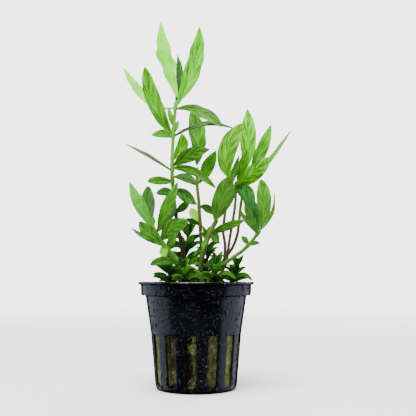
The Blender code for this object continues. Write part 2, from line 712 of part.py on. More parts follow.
def main():
    """Build the potted plant."""
    clear_scene()
    parts = make_collection("potted_dwarf_hygrophila")
    cutters = make_collection("cutters")
    finishes = {name: make_finish(name) for name in FINISHES}
    make_pot(parts, cutters, finishes["black_plastic"])
    make_wool(parts, cutters, finishes["rock_wool"])
    for stem in STEMS:
        make_stem(stem, parts, cutters, finishes)
    for sprig in SPRIGS:
        make_sprig(sprig, parts, cutters, finishes)
    for obj in parts.objects:
        if obj.name in ("net_pot",) or obj.name.endswith(("stem", "shoot")):
            obj.data.shade_smooth()
            obj.data.set_sharp_from_angle(angle=math.radians(40.0))
    cutters.hide_render = True


main()
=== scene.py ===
"""Looks of the potted dwarf hygrophila: its leaves, stems, sprigs, rock wool and net pot.

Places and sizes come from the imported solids, or repeat the plant's own plan where a solid
holds several leaves. Units are metres and +Z is up. The plant's front is at -Y.
"""

import logging
import math
import random
from contextlib import contextmanager
from dataclasses import dataclass
from enum import Enum
from typing import Callable, ClassVar, Iterable, Iterator, Sequence, Union

import bmesh
import bpy
from mathutils import Matrix, Vector


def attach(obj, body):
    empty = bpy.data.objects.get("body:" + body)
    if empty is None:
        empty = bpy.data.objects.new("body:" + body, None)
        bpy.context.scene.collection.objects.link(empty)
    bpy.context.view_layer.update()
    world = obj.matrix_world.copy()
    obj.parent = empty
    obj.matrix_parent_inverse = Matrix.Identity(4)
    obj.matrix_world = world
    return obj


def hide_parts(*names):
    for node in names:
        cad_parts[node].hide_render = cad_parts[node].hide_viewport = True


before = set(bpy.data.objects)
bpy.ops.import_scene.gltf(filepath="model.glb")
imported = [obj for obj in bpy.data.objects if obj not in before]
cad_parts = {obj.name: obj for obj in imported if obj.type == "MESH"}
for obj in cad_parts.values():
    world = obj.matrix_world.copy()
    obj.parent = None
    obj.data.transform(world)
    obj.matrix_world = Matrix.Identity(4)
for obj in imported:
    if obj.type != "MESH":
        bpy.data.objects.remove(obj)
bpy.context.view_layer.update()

LOG = logging.getLogger("hygrophila")

MM = 0.001
UP = Vector((0.0, 0.0, 1.0))
FRONT = Vector((0.0, -1.0, 0.0))

# The eye that the plant is seen from: the camera stands here, and the plan's widths and
# heights are on the plane through the pot's axis as this eye sees them.
EYE = Vector((5.7, -330.0, 53.8)) * MM

Colour = tuple[float, float, float, float]
Feed = Union[float, tuple, bpy.types.NodeSocket]


# Finishes


def tint(red: float, green: float, blue: float) -> Colour:
    """Return a linear colour with its alpha."""
    return (red, green, blue, 1.0)


class NodeBench:
    """Adds nodes to one tree and joins them."""

    def __init__(self, tree: bpy.types.NodeTree) -> None:
        """Keep the tree.

        Args:
            tree: The tree that the nodes go in.
        """
        self.tree = tree

    def add(self, kind: str, **settings: object) -> bpy.types.Node:
        """Add a node.

        Args:
            kind: Blender's name of the node's type.
            **settings: Values of the node's own properties.

        Returns:
            The new node.
        """
        node = self.tree.nodes.new(kind)
        for name, value in settings.items():
            setattr(node, name, value)
        return node

    def feed(self, target: bpy.types.NodeSocket, value: Feed) -> None:
        """Give an input its value, or join it to an output."""
        if isinstance(value, bpy.types.NodeSocket):
            self.tree.links.new(value, target)
        else:
            target.default_value = value

    def math(self, operation: str, *values: Feed, clamp: bool = False) -> bpy.types.NodeSocket:
        """Return the result of a Math node.

        Args:
            operation: The node's operation.
            *values: One to three inputs.
            clamp: Whether the result is held between 0 and 1.

        Returns:
            The node's output.
        """
        node = self.add("ShaderNodeMath", operation=operation, use_clamp=clamp)
        for index, value in enumerate(values):
            self.feed(node.inputs[index], value)
        return node.outputs[0]

    def rise(self, value: Feed, low: Feed, high: Feed) -> bpy.types.NodeSocket:
        """Return a smooth step of a value.

        Args:
            value: What is stepped.
            low: Where the step leaves 0.
            high: Where it reaches 1; below low, the step runs down.

        Returns:
            A share from 0 to 1.
        """
        node = self.add("ShaderNodeMapRange", interpolation_type="SMOOTHSTEP")
        self.feed(node.inputs["Value"], value)
        self.feed(node.inputs["From Min"], low)
        self.feed(node.inputs["From Max"], high)
        return node.outputs["Result"]

    def mix(self, share: Feed, first: Feed, second: Feed) -> bpy.types.NodeSocket:
        """Return a mix of two colours.

        Args:
            share: Share of the second colour.
            first: Colour at share 0.
            second: Colour at share 1.

        Returns:
            The mixed colour.
        """
        node = self.add("ShaderNodeMix", data_type="RGBA")
        self.feed(node.inputs[0], share)
        self.feed(node.inputs[6], first)
        self.feed(node.inputs[7], second)
        return node.outputs[2]

    def coordinates(self, output: str = "Object") -> bpy.types.NodeSocket:
        """Return an output of a Texture Coordinate node."""
        return self.add("ShaderNodeTexCoord").outputs[output]

    def scaled(self, place: Feed, scale: Sequence[float],
               turn: Sequence[float] = (0.0, 0.0, 0.0)) -> bpy.types.NodeSocket:
        """Return a place that is stretched and turned.

        Args:
            place: Coordinates.
            scale: Scale along each axis.
            turn: Turn about each axis, in radians.

        Returns:
            The mapped coordinates.
        """
        node = self.add("ShaderNodeMapping")
        self.feed(node.inputs["Vector"], place)
        node.inputs["Scale"].default_value = scale
        node.inputs["Rotation"].default_value = turn
        return node.outputs["Vector"]

    def noise(self, place: Feed, scale: Feed, detail: float = 2.0,
              distortion: float = 0.0) -> bpy.types.NodeSocket:
        """Return a noise's value.

        Args:
            place: Coordinates.
            scale: Cells to the metre.
            detail: Octaves above the first.
            distortion: Warp of the pattern.

        Returns:
            The noise, about 0.5 on average.
        """
        node = self.add("ShaderNodeTexNoise")
        self.feed(node.inputs["Vector"], place)
        self.feed(node.inputs["Scale"], scale)
        node.inputs["Detail"].default_value = detail
        node.inputs["Distortion"].default_value = distortion
        return node.outputs["Fac"]

    def group(self, tree: bpy.types.NodeTree, **values: Feed) -> bpy.types.Node:
        """Place a node group.

        Args:
            tree: The group.
            **values: Its inputs, an underscore standing for each space in a name.

        Returns:
            The group's node.
        """
        node = self.add("ShaderNodeGroup", node_tree=tree)
        for name, value in values.items():
            self.feed(node.inputs[name.replace("_", " ")], value)
        return node


class Effects:
    """Node groups of the effects that several finishes share."""

    def __init__(self) -> None:
        """Build each group once."""
        self.veins = self._veins()
        self.mottle = self._mottle()
        self.beads = self._beads()
        self.fibres = self._fibres()

    @staticmethod
    def _start(name: str, inputs: dict[str, float],
               outputs: Iterable[str]) -> tuple[NodeBench, dict, bpy.types.Node]:
        """Start a group.

        Args:
            name: Name of the group.
            inputs: Each input's name and its usual value.
            outputs: Names of the outputs.

        Returns:
            The bench, the inputs as sockets by name, and the group's output node.
        """
        tree = bpy.data.node_groups.new(name, "ShaderNodeTree")
        for label, value in inputs.items():
            socket = tree.interface.new_socket(label, in_out="INPUT",
                                               socket_type="NodeSocketFloat")
            socket.default_value = value
        for label in outputs:
            tree.interface.new_socket(label, in_out="OUTPUT", socket_type="NodeSocketFloat")
        bench = NodeBench(tree)
        entry = bench.add("NodeGroupInput")
        return bench, {label: entry.outputs[label] for label in inputs}, bench.add(
            "NodeGroupOutput")

    def _veins(self) -> bpy.types.NodeTree:
        """Return the veins of a blade, which follow its UV map from base to tip."""
        bench, given, out = self._start(
            "leaf_veins",
            {"Pairs": 10.0, "Midrib Width": 0.12, "Branch Width": 0.40, "Streak Scale": 0.9,
             "Lean": 0.30},
            ("Midrib", "Branches", "Streaks", "Across", "Along", "Height"))
        place = bench.coordinates("UV")
        split = bench.add("ShaderNodeSeparateXYZ")
        bench.feed(split.inputs[0], place)
        along = split.outputs[0]
        across = bench.math("MULTIPLY", bench.math(
            "ABSOLUTE", bench.math("SUBTRACT", split.outputs[1], 0.5)), 2.0)
        side = bench.math("GREATER_THAN", split.outputs[1], 0.5)
        wander = bench.noise(bench.coordinates(), 210.0)
        wander = bench.math("MULTIPLY", bench.math("SUBTRACT", wander, 0.5), 1.5)
        taper = bench.math("MULTIPLY", given["Midrib Width"],
                           bench.math("SUBTRACT", 1.25, along))
        midrib = bench.rise(across, taper, 0.0)
        ahead = bench.math("SUBTRACT", along, bench.math("MULTIPLY", across, given["Lean"]))
        phase = bench.math("ADD", bench.math("MULTIPLY", ahead, given["Pairs"]), wander)
        ridge = bench.math("MULTIPLY", bench.math(
            "ABSOLUTE", bench.math("SUBTRACT", bench.math("FRACT", phase), 0.5)), 2.0)
        branches = bench.rise(ridge, bench.math("SUBTRACT", 1.0, given["Branch Width"]), 1.0)
        branches = bench.math("MULTIPLY", branches, bench.rise(across, 1.0, 0.55))
        branches = bench.math("MULTIPLY", branches, bench.rise(along, 0.04, 0.14))
        joined = bench.add("ShaderNodeCombineXYZ")
        bench.feed(joined.inputs[0], bench.math("MULTIPLY", phase, given["Streak Scale"]))
        bench.feed(joined.inputs[1], bench.math("MULTIPLY", across, 0.9))
        bench.feed(joined.inputs[2], bench.math("MULTIPLY", side, 7.3))
        streaks = bench.rise(bench.noise(joined.outputs[0], 1.0, 3.0), 0.38, 0.64)
        height = bench.math("ADD", midrib, bench.math("MULTIPLY", branches, 0.55))
        bench.feed(out.inputs["Midrib"], midrib)
        bench.feed(out.inputs["Branches"], branches)
        bench.feed(out.inputs["Streaks"], streaks)
        bench.feed(out.inputs["Across"], across)
        bench.feed(out.inputs["Along"], along)
        bench.feed(out.inputs["Height"], bench.math("SUBTRACT", 1.0, height))
        return bench.tree

    def _mottle(self) -> bpy.types.NodeTree:
        """Return patches and fine grain that differ from place to place."""
        bench, given, out = self._start(
            "mottle", {"Patch Scale": 90.0, "Grain Scale": 1400.0}, ("Patches", "Grain"))
        place = bench.coordinates()
        patches = bench.rise(bench.noise(place, given["Patch Scale"], 3.0, 0.6), 0.33, 0.67)
        grain = bench.noise(place, given["Grain Scale"], 2.0)
        bench.feed(out.inputs["Patches"], patches)
        bench.feed(out.inputs["Grain"], grain)
        return bench.tree

    def _beads(self) -> bpy.types.NodeTree:
        """Return the fine wet beads that stand on a smooth surface."""
        bench, given, out = self._start(
            "wet_beads", {"Scale": 700.0, "Cover": 0.5, "Size": 0.42}, ("Height", "Mask"))
        place = bench.scaled(bench.coordinates(), (1.0, 1.0, 0.72))
        cells = bench.add("ShaderNodeTexVoronoi")
        bench.feed(cells.inputs["Vector"], place)
        bench.feed(cells.inputs["Scale"], given["Scale"])
        pick = bench.add("ShaderNodeSeparateColor")
        bench.feed(pick.inputs[0], cells.outputs["Color"])
        radius = bench.math("MULTIPLY", given["Size"],
                            bench.math("ADD", 0.45, pick.outputs[1]))
        share = bench.math("DIVIDE", cells.outputs["Distance"], radius)
        dome = bench.math("SUBTRACT", 1.0, bench.math("MULTIPLY", share, share), clamp=True)
        there = bench.math("LESS_THAN", pick.outputs[0], given["Cover"])
        mask = bench.math("MULTIPLY", bench.rise(dome, 0.0, 0.25), there)
        height = bench.math("MULTIPLY", dome, there)
        bench.feed(out.inputs["Height"], bench.math("MULTIPLY", height, radius))
        bench.feed(out.inputs["Mask"], mask)
        return bench.tree

    def _fibres(self) -> bpy.types.NodeTree:
        """Return matted fibres: stretched noise that runs several ways."""
        bench, given, out = self._start("matted_fibres", {"Scale": 900.0}, ("Strands",))
        place = bench.coordinates()
        strands: Feed = 0.0
        for turn in ((0.4, 0.9, 0.2), (1.3, 0.3, 1.9), (2.2, 1.7, 0.8)):
            way = bench.scaled(place, (1.0, 0.14, 1.0), turn)
            layer = bench.rise(bench.noise(way, given["Scale"], 1.0, 0.4), 0.54, 0.72)
            strands = bench.math("MAXIMUM", strands, layer)
        bench.feed(out.inputs["Strands"], strands)
        return bench.tree


def new_shader(name: str) -> tuple[bpy.types.Material, NodeBench, bpy.types.Node]:
    """Return a new material with its Principled shader.

    Args:
        name: Name of the material.

    Returns:
        The material, a bench on its tree, and the shader.
    """
    material = bpy.data.materials.new(name)
    material.use_nodes = True
    bench = NodeBench(material.node_tree)
    return material, bench, material.node_tree.nodes["Principled BSDF"]


def add_bump(bench: NodeBench, shader: bpy.types.Node, height: Feed, strength: float,
             depth: float, under: Feed = None) -> bpy.types.NodeSocket:
    """Give a shader a bump.

    Args:
        bench: Bench on the shader's tree.
        shader: The Principled shader.
        height: Height, from 0 to 1.
        strength: Strength of the bump.
        depth: Depth of height 1, in metres.
        under: Normal of another bump that this one lies on.

    Returns:
        The bumped normal.
    """
    node = bench.add("ShaderNodeBump")
    node.inputs["Strength"].default_value = strength
    node.inputs["Distance"].default_value = depth
    bench.feed(node.inputs["Height"], height)
    if under is not None:
        bench.feed(node.inputs["Normal"], under)
    bench.feed(shader.inputs["Normal"], node.outputs["Normal"])
    return node.outputs["Normal"]


@dataclass(frozen=True)
class LeafFinish:
    """A leaf's mean colour, and how far its tissue and its veins part from it."""

    name: str
    mean: Colour
    streak: float = 0.8
    branch: float = 0.32
    contrast: float = 1.0
    roughness: float = 0.52
    sheen: float = 0.14
    glow: float = 0.06

    vein_factor: ClassVar[float] = 1.9
    streak_factor: ClassVar[float] = 2.15
    tissue_factors: ClassVar[tuple[float, float]] = (0.30, 0.82)
    base_factor: ClassVar[float] = 0.35
    vein_depth: ClassVar[float] = 0.22 * MM
    grain_depth: ClassVar[float] = 0.05 * MM

    def shade(self, factor: float, yellow: float = 1.0) -> Colour:
        """Return the mean colour, brightened by a factor and made yellower."""
        factor = factor ** self.contrast
        red, green, blue, _ = self.mean
        return tint(min(red * factor * yellow, 0.8), min(green * factor, 0.85), blue * factor)

    def material(self, effects: Effects) -> bpy.types.Material:
        """Return the finish as a material.

        Args:
            effects: The shared node groups.

        Returns:
            The new material.
        """
        material, bench, shader = new_shader(self.name)
        veins = bench.group(effects.veins)
        mottle = bench.group(effects.mottle, Patch_Scale=110.0)
        vein = self.shade(self.vein_factor, 1.15)
        dark, light = self.tissue_factors
        colour = bench.mix(mottle.outputs["Patches"], self.shade(dark, 0.9), self.shade(light))
        broad = bench.rise(bench.noise(bench.coordinates(), 55.0, 1.0), 0.35, 0.65)
        streak = bench.math("MULTIPLY", veins.outputs["Streaks"], bench.math(
            "ADD", 0.55 * self.streak, bench.math("MULTIPLY", broad, 0.6 * self.streak)),
            clamp=True)
        colour = bench.mix(streak, colour, self.shade(self.streak_factor, 1.15))
        branch = bench.math("MULTIPLY", veins.outputs["Branches"], self.branch)
        colour = bench.mix(branch, colour, vein)
        stalk = bench.rise(veins.outputs["Along"], 0.16, 0.02)
        rib = bench.math("MAXIMUM", bench.math("MULTIPLY", veins.outputs["Midrib"], 0.7),
                         bench.math("MULTIPLY", stalk, 0.6))
        colour = bench.mix(rib, colour, vein)
        low = bench.math("MULTIPLY", bench.rise(veins.outputs["Along"], 0.45, 0.05), 0.40)
        colour = bench.mix(low, colour, self.shade(self.base_factor))
        bench.feed(shader.inputs["Base Color"], colour)
        dull = bench.math("MULTIPLY", mottle.outputs["Patches"], 0.12)
        bench.feed(shader.inputs["Roughness"],
                   bench.math("ADD", dull, self.roughness - 0.06))
        shader.inputs["Specular IOR Level"].default_value = self.sheen
        shader.inputs["Subsurface Weight"].default_value = self.glow
        shader.inputs["Subsurface Radius"].default_value = (0.35, 1.0, 0.15)
        shader.inputs["Subsurface Scale"].default_value = 1.2 * MM
        under = add_bump(bench, shader, veins.outputs["Height"], 0.6, self.vein_depth)
        add_bump(bench, shader, mottle.outputs["Grain"], 0.25, self.grain_depth, under)
        return material


@dataclass(frozen=True)
class StemFinish:
    """A stem's colours from its foot to its top, which change between two heights."""

    name: str
    foot: Colour
    top: Colour
    low: float
    high: float

    def material(self, effects: Effects) -> bpy.types.Material:
        """Return the finish as a material.

        Args:
            effects: The shared node groups.

        Returns:
            The new material.
        """
        material, bench, shader = new_shader(self.name)
        place = bench.coordinates()
        split = bench.add("ShaderNodeSeparateXYZ")
        bench.feed(split.inputs[0], place)
        mottle = bench.group(effects.mottle, Patch_Scale=220.0)
        streaks = bench.noise(bench.scaled(place, (1.0, 1.0, 0.12)), 1500.0, 2.0)
        wander = bench.math("MULTIPLY", bench.math(
            "SUBTRACT", mottle.outputs["Patches"], 0.5), 8.0 * MM)
        height = bench.math("ADD", split.outputs[2], wander)
        share = bench.rise(height, self.low * MM, self.high * MM)
        colour = bench.mix(share, self.foot, self.top)
        shade = bench.math("MULTIPLY", bench.rise(streaks, 0.42, 0.70), 0.45)
        dark = tuple(0.42 * channel for channel in self.foot[:3]) + (1.0,)
        colour = bench.mix(shade, colour, dark)
        bench.feed(shader.inputs["Base Color"], colour)
        bench.feed(shader.inputs["Roughness"], bench.math(
            "ADD", bench.math("MULTIPLY", mottle.outputs["Grain"], 0.2), 0.32))
        shader.inputs["Subsurface Weight"].default_value = 0.08
        shader.inputs["Subsurface Scale"].default_value = 1.0 * MM
        add_bump(bench, shader, streaks, 0.5, 0.12 * MM)
        return material


@dataclass(frozen=True)
class WetPlasticFinish:
    """Black moulded plastic, wet with fine beads."""

    name: str = "wet_black_plastic"
    colour: Colour = tint(0.0010, 0.0011, 0.0018)
    worn: Colour = tint(0.0024, 0.0026, 0.0040)
    gloss: float = 0.52
    bead_gloss: float = 0.33
    fine_rise: float = 1.3 * MM
    large_rise: float = 2.6 * MM

    def material(self, effects: Effects) -> bpy.types.Material:
        """Return the finish as a material.

        Args:
            effects: The shared node groups.

        Returns:
            The new material.
        """
        material, bench, shader = new_shader(self.name)
        mottle = bench.group(effects.mottle, Patch_Scale=60.0, Grain_Scale=2600.0)
        colour = bench.mix(mottle.outputs["Patches"], self.colour, self.worn)
        fine = bench.group(effects.beads, Scale=950.0, Cover=0.62, Size=0.42)
        large = bench.group(effects.beads, Scale=430.0, Cover=0.26, Size=0.34)
        wet = bench.math("MAXIMUM", fine.outputs["Mask"], large.outputs["Mask"])
        # Under the beads the colour mixes back to the plain black: painted darkening that deepens
        # the beads' dark reflections.
        colour = bench.mix(bench.math("MULTIPLY", wet, 0.5), colour, self.colour)
        bench.feed(shader.inputs["Base Color"], colour)
        dry = bench.math("ADD", bench.math("MULTIPLY", mottle.outputs["Grain"], 0.16), 0.16)
        bench.feed(shader.inputs["Roughness"], bench.math(
            "MULTIPLY", dry, bench.math("SUBTRACT", 1.0, bench.math("MULTIPLY", wet, 0.75))))
        bench.feed(shader.inputs["Coat Weight"], bench.math(
            "MULTIPLY", bench.math("SUBTRACT", 1.0, wet), self.gloss))
        shader.inputs["Coat Roughness"].default_value = 0.2
        shader.inputs["Specular IOR Level"].default_value = self.bead_gloss
        under = add_bump(bench, shader, mottle.outputs["Grain"], 0.25, 0.06 * MM)
        under = add_bump(bench, shader, fine.outputs["Height"], 1.0, self.fine_rise, under)
        add_bump(bench, shader, large.outputs["Height"], 1.0, self.large_rise, under)
        return material


@dataclass(frozen=True)
class WoolFinish:
    """Wet rock wool, olive where it is lit and dark between its fibres, with painted shade from its
    shade attribute.
    """

    name: str
    deep: Colour
    body: Colour
    strand: Colour

    def material(self, effects: Effects) -> bpy.types.Material:
        """Return the finish as a material.

        Args:
            effects: The shared node groups.

        Returns:
            The new material.
        """
        material, bench, shader = new_shader(self.name)
        mottle = bench.group(effects.mottle, Patch_Scale=260.0)
        fibres = bench.group(effects.fibres, Scale=1500.0)
        colour = bench.mix(mottle.outputs["Patches"], self.deep, self.body)
        colour = bench.mix(bench.math("MULTIPLY", fibres.outputs["Strands"], 0.8), colour,
                           self.strand)
        # Painted shade: the shade attribute darkens the wool towards near black, in its hollows and
        # towards the front.
        shade = bench.add("ShaderNodeAttribute", attribute_name="shade")
        dark = tuple(0.15 * channel for channel in self.deep[:3]) + (1.0,)
        colour = bench.mix(bench.rise(shade.outputs["Fac"], 0.0, 1.0), colour, dark)
        bench.feed(shader.inputs["Base Color"], colour)
        bench.feed(shader.inputs["Roughness"], bench.math(
            "ADD", bench.math("MULTIPLY", mottle.outputs["Grain"], 0.2), 0.68))
        add_bump(bench, shader, fibres.outputs["Strands"], 0.9, 0.35 * MM)
        return material


class LeafTone(Enum):
    """The leaf finishes: one yellow green in steps from the pale young leaves at the top to the
    deep old ones, and a few other hues. A leaf's step is partly its own tone and partly painted
    light and shade: leaves that lie in shadow take the darker steps, such as DEEP and SHADE, the
    grey and blue tones paint a sheen, and the backlit tone paints a glow.
    """

    PALEST = LeafFinish("palest_leaf", tint(0.165, 0.850, 0.010), contrast=0.5)
    PALE = LeafFinish("pale_leaf", tint(0.095, 0.510, 0.008))
    FRESH = LeafFinish("fresh_leaf", tint(0.084, 0.360, 0.006))
    BRIGHT = LeafFinish("bright_leaf", tint(0.055, 0.224, 0.006))
    GROWN = LeafFinish("grown_leaf_green", tint(0.038, 0.160, 0.006))
    DEEP = LeafFinish("deep_leaf", tint(0.019, 0.098, 0.004))
    SHADE = LeafFinish("shade_leaf", tint(0.009, 0.052, 0.003))
    OLIVE = LeafFinish("olive_leaf", tint(0.049, 0.180, 0.009),
                       streak=0.5, branch=0.3, contrast=0.7)
    MINT = LeafFinish("mint_leaf", tint(0.104, 0.500, 0.040), streak=0.6, branch=0.3, contrast=0.8)
    SPRING = LeafFinish("spring_leaf", tint(0.067, 0.292, 0.006))
    DIM = LeafFinish("dim_leaf", tint(0.038, 0.095, 0.022), streak=0.5, branch=0.3, contrast=0.8)
    # Grey green that paints the pale sheen of light on a leaf's face.
    SHEEN_GREY = LeafFinish("grey_painted_sheen_leaf", tint(0.100, 0.290, 0.060), streak=0.5, branch=0.3, contrast=0.8)
    # Blue green that paints a bluish sheen of light on the leaf, over a somewhat glossier face.
    BLUE = LeafFinish("blue_painted_sheen_leaf", tint(0.024, 0.158, 0.014),
                      streak=0.6, branch=0.3, contrast=0.8, sheen=0.3)
    # Yellow green painted bright, as the glow of light shining through the leaf from behind.
    BACKLIT_GLOW = LeafFinish("painted_backlit_leaf", tint(0.360, 0.800, 0.008), streak=0.5, branch=0.3, contrast=0.6)
    STREAKED = LeafFinish("streaked_leaf", tint(0.100, 0.530, 0.010),
                          streak=1.0, branch=0.7, contrast=1.3)


class StemTone(Enum):
    """The stem finishes."""

    TALL = StemFinish("tall_stem_skin", tint(0.030, 0.012, 0.005),
                      tint(0.115, 0.385, 0.004), 88.0, 112.0)
    RED = StemFinish("red_stem_skin", tint(0.085, 0.042, 0.012),
                     tint(0.085, 0.215, 0.008), 68.0, 102.0)
    FRONT = StemFinish("front_stem_skin", tint(0.040, 0.040, 0.007),
                       tint(0.070, 0.150, 0.005), 50.0, 72.0)
    GREEN = StemFinish("green_stem_skin", tint(0.034, 0.115, 0.003),
                       tint(0.064, 0.205, 0.004), 44.0, 72.0)
    SPRIG = StemFinish("sprig_stem_skin", tint(0.026, 0.029, 0.006),
                       tint(0.030, 0.080, 0.006), 44.0, 66.0)


class Paint:
    """The materials, each made once from its finish."""

    def __init__(self, effects: Effects) -> None:
        """Keep the shared node groups.

        Args:
            effects: The shared node groups.
        """
        self.effects = effects
        self.made: dict[str, bpy.types.Material] = {}

    def of(self, finish: Union[Enum, WetPlasticFinish, WoolFinish]) -> bpy.types.Material:
        """Return the material of a finish.

        Args:
            finish: The finish, or an Enum entry that holds it.

        Returns:
            The material.
        """
        plain = finish.value if isinstance(finish, Enum) else finish
        if plain.name not in self.made:
            self.made[plain.name] = plain.material(self.effects)
        return self.made[plain.name]


# Modelling


def make_active(piece: bpy.types.Object) -> None:
    """Leave one piece selected and active."""
    bpy.ops.object.select_all(action="DESELECT")
    piece.select_set(True)
    bpy.context.view_layer.objects.active = piece


@contextmanager
def edit_mode() -> Iterator[None]:
    """Work on the active piece in edit mode."""
    bpy.ops.object.mode_set(mode="EDIT")
    yield
    bpy.ops.object.mode_set(mode="OBJECT")


def pick_points(piece: bpy.types.Object, test: Callable[[Vector], bool]) -> None:
    """Select, in edit mode, the points whose place passes a test.

    Args:
        piece: The piece in edit mode.
        test: Says of a place whether its point is picked.
    """
    bm = bmesh.from_edit_mesh(piece.data)
    for vert in bm.verts:
        vert.select = test(vert.co)
    bm.select_flush_mode()
    bmesh.update_edit_mesh(piece.data)


def pick_faces(piece: bpy.types.Object, test: Callable[[Vector], bool]) -> None:
    """Select, in edit mode, the faces whose centre passes a test.

    Args:
        piece: The piece in edit mode and face selection.
        test: Says of a centre whether its face is picked.
    """
    bm = bmesh.from_edit_mesh(piece.data)
    for face in bm.faces:
        face.select_set(False)
    for face in bm.faces:
        if test(face.calc_center_median()):
            face.select_set(True)
    bmesh.update_edit_mesh(piece.data)


def turn_rings(name: str, rings: Sequence[tuple[float, float]], columns: int,
               bearing: float) -> bpy.types.Object:
    """Turn a round piece: a disc whose rim is extruded ring by ring.

    Args:
        name: Name of the piece.
        rings: Radius and height of each ring, the disc's own first.
        columns: Points in each ring.
        bearing: Bearing of each ring's first point, in degrees.

    Returns:
        The closed piece.
    """
    radius, height = rings[0]
    bpy.ops.object.select_all(action="DESELECT")
    bpy.ops.mesh.primitive_circle_add(
        vertices=columns, radius=radius, fill_type="NGON", location=(0.0, 0.0, height),
        rotation=(0.0, 0.0, math.radians(bearing - 90.0)))
    piece = bpy.context.object
    piece.name = name
    apply_place(piece)
    with edit_mode():
        for next_radius, next_height in rings[1:]:
            bpy.ops.mesh.extrude_region_move(
                TRANSFORM_OT_translate={"value": (0.0, 0.0, next_height - height)})
            grow = next_radius / radius
            bpy.ops.transform.resize(value=(grow, grow, 1.0),
                                     center_override=(0.0, 0.0, next_height))
            radius, height = next_radius, next_height
        bpy.ops.mesh.select_all(action="SELECT")
        bpy.ops.mesh.normals_make_consistent(inside=False)
    return piece


def bare_curve() -> bpy.types.Object:
    """Add a curve of two points, alone selected, to be shaped."""
    bpy.ops.object.select_all(action="DESELECT")
    bpy.ops.curve.primitive_bezier_curve_add(location=(0.0, 0.0, 0.0))
    return bpy.context.object


def apply_modifiers(piece: bpy.types.Object) -> None:
    """Apply every modifier of a piece, in order."""
    make_active(piece)
    for name in [modifier.name for modifier in piece.modifiers]:
        bpy.ops.object.modifier_apply(modifier=name)


def apply_place(piece: bpy.types.Object) -> None:
    """Move a piece's place, turn and scale into its mesh."""
    make_active(piece)
    bpy.ops.object.transform_apply(location=True, rotation=True, scale=True)


def displace(piece: bpy.types.Object, group: str, direction: str,
             strength: float) -> bpy.types.Modifier:
    """Add a modifier that moves a piece's points by their weight in a group.

    Args:
        piece: The piece.
        group: The vertex group.
        direction: X, Y, Z or NORMAL.
        strength: How far a point of weight 1 moves.

    Returns:
        The modifier.
    """
    modifier = piece.modifiers.new(f"move_{group}", "DISPLACE")
    modifier.direction = direction
    modifier.strength = strength
    modifier.mid_level = 0.0
    modifier.vertex_group = group
    return modifier


def join_pieces(pieces: Sequence[bpy.types.Object], name: str) -> bpy.types.Object:
    """Join pieces into the first of them.

    Args:
        pieces: The pieces.
        name: Name of the joined piece.

    Returns:
        The joined piece.
    """
    make_active(pieces[0])
    for piece in pieces[1:]:
        piece.select_set(True)
    if len(pieces) > 1:
        bpy.ops.object.join()
    pieces[0].name = name
    pieces[0].data.name = name
    return pieces[0]


def settle(piece: bpy.types.Object, slot: str, *nodes: str) -> None:
    """Hand a finished piece to the frame.

    Args:
        piece: The piece.
        slot: The record's material slot; not used.
        *nodes: The CAD nodes that it stands for.
    """
    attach(piece, "root")
    if nodes:
        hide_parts(*nodes)
    LOG.info("%s: %d faces", piece.name, len(piece.data.polygons))


def copy_piece(piece: bpy.types.Object, name: str) -> bpy.types.Object:
    """Return a copy of a piece with a mesh of its own."""
    twin = piece.copy()
    twin.data = piece.data.copy()
    twin.name = name
    twin.data.name = name
    twin.hide_viewport = False
    twin.hide_render = False
    bpy.context.scene.collection.objects.link(twin)
    return twin


def dress(piece: bpy.types.Object, material: bpy.types.Material) -> None:
    """Give a piece one material."""
    piece.data.materials.clear()
    piece.data.materials.append(material)


# Leaves


class BladeForm(Enum):
    """Outlines of a blade: where it is widest, and how fast it narrows from there."""

    LANCE = (0.52, 1.10)
    BROAD = (0.54, 0.82)
    STRAP = (0.50, 0.62)

    def half_width(self, share: float) -> float:
        """Return half the blade's width at a share of its length, 1 where it is widest."""
        widest, power = self.value
        share = min(max(share, 0.0), 1.0)
        fall = power * (1.0 - widest) / widest
        return (share / widest) ** power * ((1.0 - share) / (1.0 - widest)) ** fall


